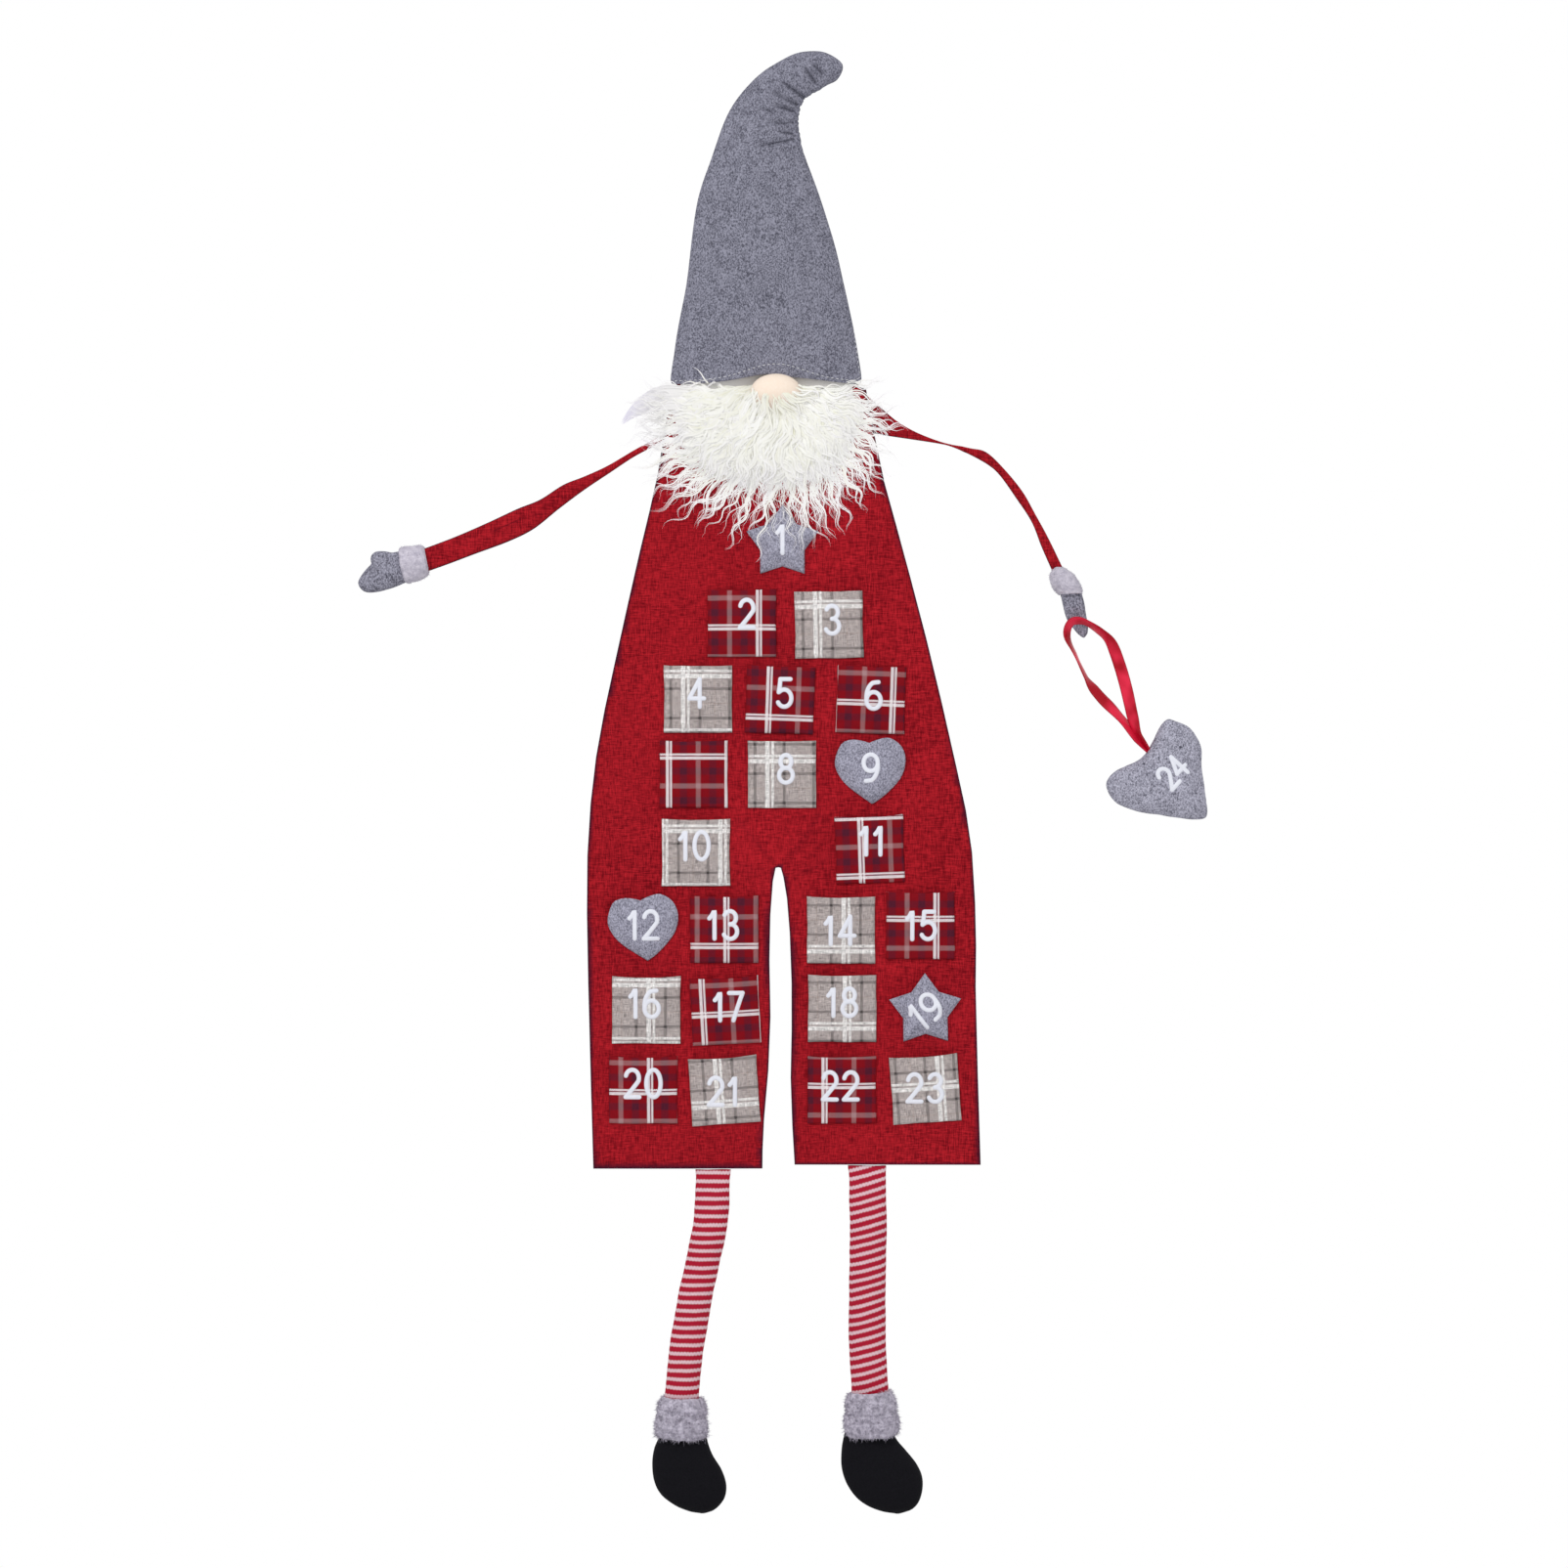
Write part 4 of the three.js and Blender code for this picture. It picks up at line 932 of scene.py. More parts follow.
sixStroke = [(0.5, 0.96), *arc(0.42, 0.42, 0.42, 0.55, 110, 180, 10), *arc(0.3, 0.3, 0.3, 0.3, 180, 535, 24)]
digits = {
    "0": (0.6, [arc(0.3, 0.5, 0.3, 0.5, 90, 452, 30)]),
    "1": (0.3, [[(0.0, 0.74), (0.1, 0.84), (0.22, 1.0), (0.22, 0.66), (0.22, 0.33), (0.22, 0.0)]]),
    "2": (0.58, [[*arc(0.29, 0.71, 0.28, 0.29, 165, -25, 16), (0.33, 0.34), (0.14, 0.14), (0.0, 0.0)],
                 [(0.0, 0.0), (0.28, 0.0), (0.58, 0.0)]]),
    "3": (0.58, [arc(0.27, 0.76, 0.25, 0.24, 155, -90, 18), arc(0.28, 0.26, 0.29, 0.27, 90, -155, 18)]),
    "4": (0.6, [[(0.44, 0.0), (0.44, 0.33), (0.44, 0.66), (0.44, 1.0)],
                [(0.44, 1.0), (0.22, 0.65), (0.0, 0.3)], [(0.0, 0.3), (0.3, 0.3), (0.62, 0.3)]]),
    "5": (0.58, [[(0.54, 1.0), (0.33, 1.0), (0.12, 1.0)], [(0.12, 1.0), (0.09, 0.75), (0.05, 0.53)],
                 [(0.05, 0.53), *arc(0.28, 0.31, 0.3, 0.31, 115, -150, 20)]]),
    "6": (0.6, [sixStroke]),
    "7": (0.56, [[(0.0, 1.0), (0.28, 1.0), (0.56, 1.0)], [(0.56, 1.0), (0.36, 0.5), (0.18, 0.0)]]),
    "8": (0.58, [arc(0.29, 0.76, 0.23, 0.24, 90, 452, 24), arc(0.29, 0.265, 0.29, 0.27, 90, 452, 26)]),
    "9": (0.6, [turned(sixStroke)]),
}


# A flat rounded stroke laid over what lies behind it
def layStroke(verts, faces, path, surfaceAt):
    half, rise = numbers["halfStroke"], numbers["rise"]
    section = circle(8)
    first, last = (path[0] - path[1]).normalized(), (path[-1] - path[-2]).normalized()
    rings = []
    for i, p in enumerate(path):
        along = headingAt(path, i)
        rings.append((p, Vector((-along.y, along.x)), 1.0))
    for share in (0.45, 0.8, 0.98):
        across = math.sqrt(1 - share * share)
        rings.insert(0, (path[0] + first * half * share, rings[0][1], across))
        rings.append((path[-1] + last * half * share, rings[-1][1], across))
    faces += tubeFaces(len(verts), len(rings), len(section))
    for centre, normal, across in rings:
        for side, out in section:
            verts.append(surfaceAt(centre + normal * half * across * side, rise * across * out))


# Y of the first surface at a place, seen from the front
def groundAt(tree, x, z):
    hit = tree.ray_cast(Vector((x, -1, z)), backwards)[0]
    return hit.y if hit else None


def surfaceTree(*objects):
    verts, polygons = [], []
    for obj in objects:
        base = len(verts)
        verts += [v.co for v in obj.data.vertices]
        polygons += [[base + i for i in p.vertices] for p in obj.data.polygons]
    return BVHTree.FromPolygons(verts, polygons)


# Lays a number's strokes on a piece, turned about the number's middle
def layNumber(name, text, middle, turn, target, shrink=1.0, kern=numbers["kern"]):
    tree = surfaceTree(target)
    height = numbers["height"] * shrink
    across = height * numbers["narrow"]
    gap = kern + 2 * numbers["halfStroke"]
    widths = [digits[c][0] * across for c in text]
    cos, sin = math.cos(math.radians(turn)), math.sin(math.radians(turn))

    def surfaceAt(p, lift):
        x = middle.x + p.x * cos - p.y * sin
        z = middle.y + p.x * sin + p.y * cos
        y = groundAt(tree, x, z)
        return Vector((x, (frontY - pockets["depth"] if y is None else y) - lift, z))

    verts, faces = [], []
    left = -(sum(widths) + gap * (len(text) - 1)) / 2
    for character, width in zip(text, widths):
        for path in digits[character][1]:
            points = [Vector((left + x * across, (y - 0.5) * height)) for x, y in path]
            steps = max((len(points) - 1) * 3, 6)
            layStroke(verts, faces, [catmull(points, i / steps) for i in range(steps + 1)], surfaceAt)
        left += width + gap
    return facingOut(meshObject(name, verts, faces, materials["white"]))


# Each number's middle on its pocket and its turn
numberTable = {
    1: (-1, -344, 0), 2: (-28.8, -404.8, 0), 3: (41.2, -409.6, 0), 4: (-70, -469.6, 0), 5: (2, -469.6, 0),
    6: (74.8, -471.2, 0), 8: (3.2, -531.6, 0), 9: (72.4, -531.2, 0), 10: (-71.6, -594.4, 0),
    11: (73.2, -590.4, 0), 12: (-113.2, -659.2, 0), 13: (-48, -659.2, 0), 14: (47.2, -663.6, 0),
    15: (113.6, -659.6, 0), 16: (-112.4, -723.2, 0), 17: (-43.6, -726, 0), 18: (49.2, -722.4, 0),
    19: (117.6, -729.6, 38), 20: (-113.6, -788.8, 0), 21: (-48.4, -795.2, 0), 22: (47.6, -790.8, 0),
    23: (116.8, -792.4, 0),
}
for day, (x, z, turn) in numberTable.items():
    label = layNumber(f"number_{day:02d}", str(day), Vector((x * mm, z * mm)), turn, pocketObjects[day])
    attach(label, "calendar")
print("numbers laid")


# Soft copies of the solids that keep their outline; the knit legs keep their sharp open ends
forms = {}
for name, levels, paint, body, slot, solid in [
    ("hat_felt_front", 3, "hatFelt", "calendar", "grey_felt", "hat_front"),
    ("hat_felt_back", 3, "felt", "calendar", "grey_felt", "hat_back"),
    ("beard_base", 1, "furSkin", "calendar", "curly_fur", "beard"),
    ("nose_felt", 2, "skin", "calendar", "skin_felt", "nose"),
    ("leg_left", 2, "knitLevel", "left_leg_and_boot", "striped_knit", "left_leg"),
    ("leg_right", 2, "knitSlanted", "right_leg_and_boot", "striped_knit", "right_leg"),
    ("boot_cuff_plush_left", 2, "darkPlush", "left_leg_and_boot", "grey_plush", "left_boot_cuff"),
    ("boot_cuff_plush_right", 2, "darkPlush", "right_leg_and_boot", "grey_plush", "right_boot_cuff"),
    ("heart_felt", 2, "flecked", "stuffed_heart", "grey_felt", "heart"),
]:
    sharpFrom = 1.15 if name.startswith("leg") else math.pi
    forms[name] = seat(softCopy(solid, name, levels, materials[paint], sharpFrom), body, slot, solid)
print("forms made")


hat = {
    "foldWidth": 1.9 * mm,
    "foldDepth": 2.2 * mm,
    "sideShare": 0.4,
    "bend": Vector((12 * mm, 2 * mm)),
    "bendReach": 26 * mm,
    "pucker": 0.45 * mm,
    "slow": 1.1 * mm,
    "brimZ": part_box("hat_front")[0].z,
    "archX": -5 * mm,
    "archWidth": 66 * mm,
    "archHeight": 13 * mm,
}


# How deep the gathered folds are at a place, with the swell beside each
def foldDepth(co):
    total = 0.0
    for start, end, depth, _ in hatFolds:
        a, b = Vector(start) * mm, Vector(end) * mm
        ab = b - a
        share = (co.xz - a).dot(ab) / ab.length_squared
        gap = (co.xz - a - ab * clamp(share, 0, 1)).length
        strength = hat["foldDepth"] * depth * clamp(share * 2.5 + 0.15, 0, 1)
        total += strength * (bell(gap, hat["foldWidth"]) - 0.3 * bell(gap - 4.2 * mm, 2.6 * mm))
    return total


def crumple(co, normal):
    gather = bell((co.xz - hat["bend"]).length, hat["bendReach"])
    pucker = hat["pucker"] * gather * math.sin(math.atan2(co.z - 2 * mm, co.x - 34 * mm) * 34)
    folds = foldDepth(co) * (1 if abs(normal.y) > 0.3 else hat["sideShare"])
    return normal * (hat["slow"] * ripple(co, 0.05, 2) + pucker - folds)


for side in ("hat_felt_front", "hat_felt_back"):
    shift(forms[side], crumple)


# Thickness and rise of a stitch along its length, as shares of its radius
stitchRings = [(0.35, 0.385), (0.9, 0.765), (1, 0.85), (0.9, 0.765), (0.35, 0.385)]


# Small raised stitches laid along a line, each following what lies behind it
def layStitches(name, line, length, gap, radius, tree):
    verts, faces = [], []
    section = circle(6)
    for a, b in zip(line, line[1:]):
        place = 0.0
        while place + length < (b - a).length:
            rings = []
            for k, (thick, rise) in enumerate(stitchRings):
                p = a.lerp(b, (place + k * length / 4) / (b - a).length)
                y = groundAt(tree, p.x, p.y)
                if y is not None:
                    rings.append((Vector((p.x, y - radius * rise, p.y)), radius * thick))
            place += length + gap
            if len(rings) < len(stitchRings):
                continue
            up = (rings[-1][0] - rings[0][0]).normalized().cross(backwards).normalized()
            faces += tubeFaces(len(verts), len(rings), len(section))
            for middle, r in rings:
                verts += [middle + up * r * across + backwards * r * out for across, out in section]
    return facingOut(meshObject(name, verts, faces, materials["thread"]))


# Level of the brim, which arches over the nose
def brimZ(x, rise):
    return hat["brimZ"] + rise + hat["archHeight"] * bell(2 * (x - hat["archX"]), hat["archWidth"])


hatTree = surfaceTree(forms["hat_felt_front"])
brimLine = [Vector((x * mm, brimZ(x * mm, 3.8 * mm))) for x in range(-88, 64, 4)]
brimStitches = layStitches("hat_brim_stitches", brimLine, 2.3 * mm, 1.5 * mm, 0.32 * mm, hatTree)
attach(brimStitches, "calendar")
seamLine = [Vector((51 * mm, -128 * mm)), Vector((57 * mm, -160 * mm)), Vector((63.5 * mm, -208 * mm))]
seamStitches = layStitches("hat_seam_stitches", seamLine, 2.2 * mm, 2.0 * mm, 0.28 * mm, hatTree)
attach(seamStitches, "calendar")
print("hat made")


ribbon = {
    "width": 10 * mm,
    "thickness": 0.5 * mm,
    "cup": 0.5 * mm,
    "steps": 90,
    "across": 9,
    "endTaper": 12 * mm,
    "palm": Vector((239.8 * mm, 0, -412.0 * mm)),
    "reach": 120 * mm,
    "lean": 2.0 * mm,
}


# How far the ribbon is turned out of the picture's plane, in degrees, at shares of its length
ribbonTurns = [
    (0, 55), (0.06, 62), (0.14, 25), (0.24, 5), (0.33, 20), (0.41, 58), (0.46, 66), (0.5, 52), (0.54, 50),
    (0.6, 70), (0.64, 74), (0.69, 70), (0.75, 34), (0.8, 28), (0.87, 48), (0.93, 38), (1, 60),
]


def ribbonTurn(share):
    for (a, low), (b, high) in zip(ribbonTurns, ribbonTurns[1:]):
        if share <= b:
            t = (share - a) / (b - a)
            return low + (high - low) * t * t * (3 - 2 * t)
    return ribbonTurns[-1][1]


# A ribbon strip along a route that lies nearly flat, turning a little about its own line
def ribbonStrip(name, path):
    steps, width, across = ribbon["steps"], ribbon["width"], ribbon["across"]
    points = [catmull(path, i / steps) for i in range(steps + 1)]
    lengths = [0.0]
    for a, b in zip(points, points[1:]):
        lengths.append(lengths[-1] + (b - a).length)
    total = lengths[-1]
    rows, uvs = [], []
    for i, p in enumerate(points):
        ahead = headingAt(points, i)
        flat = ahead.cross(backwards).normalized()
        turn = math.radians(ribbonTurn(lengths[i] / total))
        side = flat * math.cos(turn) + backwards * math.sin(turn)
        out = ahead.cross(side).normalized()
        fromEnd = min(lengths[i], total - lengths[i])
        half = width / 2 * (0.4 + 0.6 * clamp(fromEnd / ribbon["endTaper"], 0, 1))
        rows.append([])
        for j in range(across):
            place = 2 * j / (across - 1) - 1
            middle = p + side * place * half - out * ribbon["cup"] * place * place
            rows[-1].append([middle + out * ribbon["thickness"] / 2, middle - out * ribbon["thickness"] / 2])
            uvs.append((place * width / 2, lengths[i]))
    return sheetObject(name, rows, materials["satin"], uvs), total


# The ribbon's route from the heart's notch over the hand and back, from the palm in shares of its reach
ribbonShares = [
    (0.515, 0.06), (0.43, 0.18), (0.39, 0.31), (0.347, 0.5), (0.3, 0.66), (0.24, 0.81), (0.16, 0.89),
    (0.06, 0.95), (-0.015, 0.955), (-0.05, 0.91), (-0.05, 0.84), (0, 0.74), (0.047, 0.64), (0.1, 0.54),
    (0.18, 0.44), (0.28, 0.34), (0.37, 0.24), (0.505, 0.065),
]
palm, reach = ribbon["palm"], ribbon["reach"]
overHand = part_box("right_mitten")[0].y - 0.9 * mm
path = []
for i, (x, z) in enumerate(ribbonShares):
    place = Vector((palm.x + x * reach, 0, palm.z + (z - 0.95) * reach))
    settled = clamp((palm.z - 17 * mm - place.z) / (0.8 * reach), 0, 1)
    lean = ribbon["lean"] * (-1 if i < len(ribbonShares) / 2 else 1) * math.sin(math.pi * settled)
    place.y = overHand * (1 - settled) + (seamY + 0.1 * mm) * settled + lean
    path.append(place)
ribbonLoop, ribbonLength = ribbonStrip("ribbon_satin", path)
seat(ribbonLoop, "ribbon_loop", "red_satin", "ribbon")
print("ribbon made")


# Flattened cloth tubes: upper and lower edge from root to cuff in X and Z, and half depths on the way, in mm
sleeves = {
    "left": {
        "upper": [
            (-91, -249), (-106.4, -262.5), (-122.9, -271.5), (-143.4, -283.5), (-162.3, -292.1),
            (-179.4, -299), (-198.3, -311), (-217.1, -318.7), (-242.9, -330.7), (-268.6, -341.8),
            (-294.5, -351.6),
        ],
        "lower": [
            (-92, -261.5), (-105, -267), (-121.1, -275.8), (-141.7, -289.5), (-162.3, -303.3),
            (-182.9, -318.7), (-203.4, -335), (-224, -345.3), (-251.4, -355.5), (-272, -363.3),
            (-291.5, -370.3),
        ],
        "depths": (1.0, 1.6, 2.0, 2.4, 2.8, 3.2, 3.4, 3.4, 3.4, 3.4, 3.4),
    },
    "right": {
        "upper": [
            (64.5, -220.5), (82, -236.6), (95.4, -247.6), (111.2, -256.4), (132.2, -264.3),
            (153.3, -268.7), (167.3, -272.2), (182.2, -286.2), (197.1, -304.6), (207.5, -323),
            (218.5, -343.2), (231.5, -370.2),
        ],
        "lower": [
            (75, -256.5), (84, -258.4), (106, -261.7), (128.7, -265.2), (139.2, -267.8), (153.3, -273.9),
            (169, -282.7), (178.7, -291.5), (191.8, -309.9), (204.5, -329.3), (212.8, -350.2),
            (222.8, -372.8),
        ],
        "depths": (1.0, 1.2, 1.4, 1.8, 2.4, 3.2, 3.8, 4.2, 4.6, 4.8, 5.0, 5.2),
    },
}


# A closed tube that runs between two edge lines in the seam's plane, with half depths along it, marked for
# painted shade along both its edges
def edgeTube(name, given, material, steps, around, crinkle, least=0.0):
    first = [Vector((x * mm, 0, z * mm)) for x, z in given["upper"]]
    second = [Vector((x * mm, 0, z * mm)) for x, z in given["lower"]]
    depths = [Vector((0, d * mm, 0)) for d in given["depths"]]
    section = circle(around)
    verts, edgeShades = [], []
    for i in range(steps + 1):
        share = i / steps
        top, bottom, depth = catmull(first, share), catmull(second, share), catmull(depths, share).y
        middle, reach = (top + bottom) / 2, (top - bottom) / 2
        reach = reach.normalized() * max(reach.length, least)
        for across, out in section:
            fold = crinkle * noise.noise(Vector((share * 14, across * 1.5, 3.0))) * abs(out)
            y = seamY - depth * math.copysign(abs(out) ** 0.8, out) + fold
            verts.append(middle + reach * across + Vector((0, y, 0)))
            edgeShades.append(1.0 if abs(across) > 0.97 else 0.0)
    tube = facingOut(meshObject(name, verts, tubeFaces(0, steps + 1, around), material))
    markRim(tube.data, edgeShades)
    return tube


for side, given in sleeves.items():
    sleeve = edgeTube("sleeve_" + side, given, materials["sleeveLinen"], 120, 28, 0.35 * mm, 2.4 * mm)
    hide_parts(side + "_sleeve")
    root, end = [(Vector(given["upper"][i]) + Vector(given["lower"][i])) / 2 * mm for i in (0, 2)]
    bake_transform(sleeve)
print("sleeves made")

# Stuffed tubes on arms and legs: two edge lines in X and Z, in mm, and half depths as shares of the solid's
tubes = {
    "boot_left": {
        "seat": ("left_leg_and_boot", "black_fabric", "left_boot"),
        "paint": "boot",
        "crinkle": 1.2 * mm,
        "upper": [
            (-97, -1066), (-100.7, -1078.5), (-104.8, -1088.5), (-106.4, -1101), (-104.8, -1115),
            (-99, -1126), (-88, -1134.5), (-77, -1139.2), (-67, -1141.3),
        ],
        "lower": [
            (-62, -1066), (-61.5, -1080), (-57, -1093.5), (-49.6, -1105.6), (-45.8, -1117), (-46.4, -1127),
            (-50.5, -1134), (-56.5, -1139), (-64, -1141.4),
        ],
        "depths": (0.67, 0.77, 0.9, 0.97, 1.0, 0.94, 0.78, 0.5, 0.12),
    },
    "boot_right": {
        "seat": ("right_leg_and_boot", "black_fabric", "right_boot"),
        "paint": "boot",
        "crinkle": 1.2 * mm,
        "upper": [
            (54, -1066), (50.2, -1080), (48.6, -1091), (48.8, -1104), (52.6, -1116.5), (60, -1127.5),
            (69.5, -1134.8), (81, -1139.4), (93, -1141.6),
        ],
        "lower": [
            (90, -1066), (93.2, -1079.5), (101.5, -1090), (109.6, -1100), (114.4, -1110), (115.2, -1120.5),
            (112.5, -1131), (106.5, -1138), (96, -1141.7),
        ],
        "depths": (0.67, 0.77, 0.9, 0.97, 1.0, 0.94, 0.78, 0.5, 0.12),
    },
    "arm_cuff_left": {
        "seat": ("left_arm", "grey_plush", "left_arm_cuff"),
        "paint": "plush",
        "crinkle": 0.5 * mm,
        "upper": [(-314.5, -353), (-312.5, -350.2), (-304, -348.8), (-296, -348.2), (-292.8, -350.4)],
        "lower": [(-309.6, -377.2), (-306.6, -379.8), (-298, -377.6), (-290.6, -373.8), (-289.4, -370.6)],
        "depths": (0.78, 0.96, 1.0, 0.96, 0.78),
    },
    "arm_cuff_right": {
        "seat": ("right_arm", "grey_plush", "right_arm_cuff"),
        "paint": "plush",
        "crinkle": 0.5 * mm,
        "upper": [(224, -367), (220.8, -370.2), (219.6, -375.4), (221.8, -382.6), (227, -388.8)],
        "lower": [(229.4, -366.6), (234.5, -369.2), (240.3, -373.8), (245.4, -381.8), (246, -388.2)],
        "depths": (0.78, 0.96, 1.0, 0.96, 0.82),
    },
    "mitten_left": {
        "seat": ("left_arm", "grey_felt", "left_mitten"),
        "paint": "mittenFelt",
        "crinkle": 0.4 * mm,
        "upper": [
            (-303, -351), (-314.2, -352.9), (-324, -355.6), (-332, -360.2), (-339, -366.4),
            (-344.4, -372.6), (-347.2, -378.2), (-346.8, -382),
        ],
        "lower": [
            (-300, -376), (-308.1, -379.4), (-316.8, -382.8), (-323.8, -385), (-330.4, -387),
            (-336.4, -387.8), (-342, -386.8), (-345.8, -383.6),
        ],
        "depths": (0.8, 0.9, 1.0, 1.0, 0.95, 0.85, 0.6, 0.15),
        "thumb": {
            "upper": [(-312, -357), (-320.2, -353.9), (-327, -353.1), (-332.6, -353.6), (-336.2, -356.2)],
            "lower": [(-316, -372), (-324, -371), (-331, -368.4), (-335.8, -364), (-337.2, -359.4)],
            "depths": (0.5, 0.7, 0.72, 0.6, 0.15),
        },
    },
    "mitten_right": {
        "seat": ("right_arm", "grey_felt", "right_mitten"),
        "paint": "mittenFelt",
        "crinkle": 0.4 * mm,
        "upper": [
            (224.5, -381), (227.7, -388.5), (229.6, -396.8), (231.1, -404.6), (234, -411.6),
            (238.6, -417.2), (242.8, -421.8), (246, -424.4),
        ],
        "lower": [
            (243.2, -380), (246, -389.6), (248, -396.4), (249, -403.2), (250.4, -410), (251.2, -416.4),
            (250.6, -421.2), (248.2, -424.6),
        ],
        "depths": (0.8, 0.84, 0.72, 0.58, 0.48, 0.4, 0.28, 0.1),
    },
}


def stuffedTube(name, given, half, paint, crinkle):
    outline = dict(given, depths=[share * half for share in given["depths"]])
    return edgeTube(name, outline, materials[paint], 60, 48, crinkle)


# Melts a thumb into its hand
def withThumb(hand, thumb):
    bm = bmesh.new()
    bm.from_mesh(hand.data)
    bm.from_mesh(thumb.data)
    bm.to_mesh(hand.data)
    bm.free()
    bpy.data.objects.remove(thumb)
    melt = hand.modifiers.new("melt", "REMESH")
    melt.mode = "VOXEL"
    melt.voxel_size = 0.8 * mm
    melt.use_smooth_shade = True
    soften = hand.modifiers.new("soften", "SMOOTH")
    soften.factor = 0.5
    soften.iterations = 5
    return bakeModifiers(hand)


for name, given in tubes.items():
    body, slot, solid = given["seat"]
    low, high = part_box(solid)
    half = min(seamY - low.y, high.y - seamY) / mm
    form = stuffedTube(name, given, half, given["paint"], given["crinkle"])
    if "thumb" in given:
        form = withThumb(form, stuffedTube("thumb", given["thumb"], half, given["paint"], 0.0))
    forms[name] = seat(form, body, slot, solid)
print("boots and hands made")


# Hair or yarn: each strand is (points, radius, tone, flatness), and thins towards its tip
def strandMesh(name, strands, material):
    section = circle(3)
    verts, faces, uvs = [], [], []
    for points, radius, tone, flatness in strands:
        faces += tubeFaces(len(verts), len(points), len(section))
        for i, p in enumerate(points):
            ahead = headingAt(points, i)
            side = ahead.cross(Vector((0, 1, 0.02)))
            side = side.normalized() if side.length > 0.05 else ahead.cross(Vector((1, 0, 0))).normalized()
            out = ahead.cross(side)
            share = i / (len(points) - 1)
            thin = radius * (0.55 + 0.45 * min(share * 5, 1)) * (1 - share**2.2)
            for across, depth in section:
                verts.append(p + side * thin * across + out * thin * flatness * depth)
                uvs.append((tone, share))
    return meshObject(name, verts, faces, material, uvs)


beard = {
    "top": Vector((-4 * mm, -206 * mm)),
    "shrink": (0.70, 0.62, 0.70),
    "pivot": Vector((-13 * mm, -17.6 * mm, -218.6 * mm)),
    "dense": (Vector((-9 * mm, -228 * mm)), 76 * mm, 76 * mm),
    "middle": (Vector((-10 * mm, -229 * mm)), 86 * mm, 80 * mm),
    "outer": (Vector((-15 * mm, -243 * mm)), 103 * mm, 108 * mm),
    "nose": (Vector((-5 * mm, -215 * mm)), 17 * mm, 9.5 * mm),
    "rootsX": (-90 * mm, 68 * mm),
    "rootsZ": (-302 * mm, -209 * mm),
    "rootLift": 0.6 * mm,
    "gapLift": 0.4 * mm,
    "descent": 0.35,
    "farthest": 120 * mm,
    "foremost": -46.5 * mm,
    "frontOfSleeve": -17.9 * mm,
    "waveLengths": (22 * mm, 34 * mm),
}
# Each layer: strands, ranges of length, lift, thickness (mm), waviness and tone, reach, strands to a lock
furLayers = {
    "under": (1000, (26, 46), (0.2, 1.2), (0.7, 1.2), (0.5, 1.0), (0, 0.6), "dense", 1),
    "top": (1700, (34, 70), (1.4, 4.0), (0.6, 1.15), (0.8, 1.5), (0, 1), "middle", 4),
    "hairs": (360, (40, 80), (1.0, 4.5), (0.25, 0.4), (0.5, 1.2), (0.5, 1), "outer", 1),
}
furBase = forms["beard_base"]


# Draws the beard's solid in under its strands, and roughens it
def shrinkBeard(co, normal):
    arm = co - beard["pivot"]
    change = Vector(arm[i] * (beard["shrink"][i] - 1) for i in range(3))
    return change + normal * 1.6 * mm * ripple(co, 0.016, 3) + normal * 0.8 * mm * ripple(co, 0.006, 5)


shift(furBase, shrinkBeard)


furGround = surfaceTree(furBase, trousers, pocketObjects[1], forms["nose_felt"], forms["hat_felt_front"])
furRoots = surfaceTree(furBase)


# Direction in which the fur is combed at a place under the nose
def combed(x, z, draw):
    angle = math.atan2((z - beard["top"].y) * 0.85 - 4 * mm, x - beard["top"].x)
    return angle + 1.1 * noise.noise(Vector((x * 38, z * 38, 7))) + draw.gauss(0, 0.2)


def beyond(outline, x, z):
    middle, across, down = beard[outline]
    u, v = (x - middle.x) / across, (z - middle.y) / down
    return u * u + v * v > 1


# How far a strand may run from a place before it passes an outline of the beard
def roomFrom(x, z, angle, outline):
    for i in range(1, 40):
        far = i * 3 * mm
        if beyond(outline, x + far * math.cos(angle), z + far * math.sin(angle)):
            return far
    return beard["farthest"]


# A wavy strand from a root on the skin, which keeps to the ground in front of it
def furStrand(draw, x, z, angle, length, steps, wave, offset):
    y = groundAt(furRoots, x, z)
    if y is None:
        return None
    swirl = draw.gauss(0, 0.35)
    phase = 9 * noise.noise(Vector((x * 25, z * 25, 2))) + draw.uniform(-0.5, 0.5)
    waves = length / draw.uniform(*beard["waveLengths"])
    y += beard["rootLift"]
    points = []
    stride = length / steps
    for i in range(steps + 1):
        share = i / steps
        bend = angle + swirl * share + wave * share**0.6 * math.sin(2 * math.pi * waves * share + phase)
        ground = groundAt(furGround, x, z)
        lift = offset * min(share * 5, 1) * (1 - 0.6 * share)
        goal = (y + beard["gapLift"] if ground is None else ground) - lift
        if i:
            y = min(goal, y + beard["descent"] * stride)
        y = max(y, beard["foremost"])
        points.append(Vector((x, min(y, beard["frontOfSleeve"] if i else y), z)))
        x += stride * math.cos(bend)
        z += stride * math.sin(bend)
    return points


# A place on the skin, not under the nose
def furRoot(draw):
    while True:
        x, z = draw.uniform(*beard["rootsX"]), draw.uniform(*beard["rootsZ"])
        if beyond("nose", x, z) and groundAt(furRoots, x, z) is not None:
            return x, z


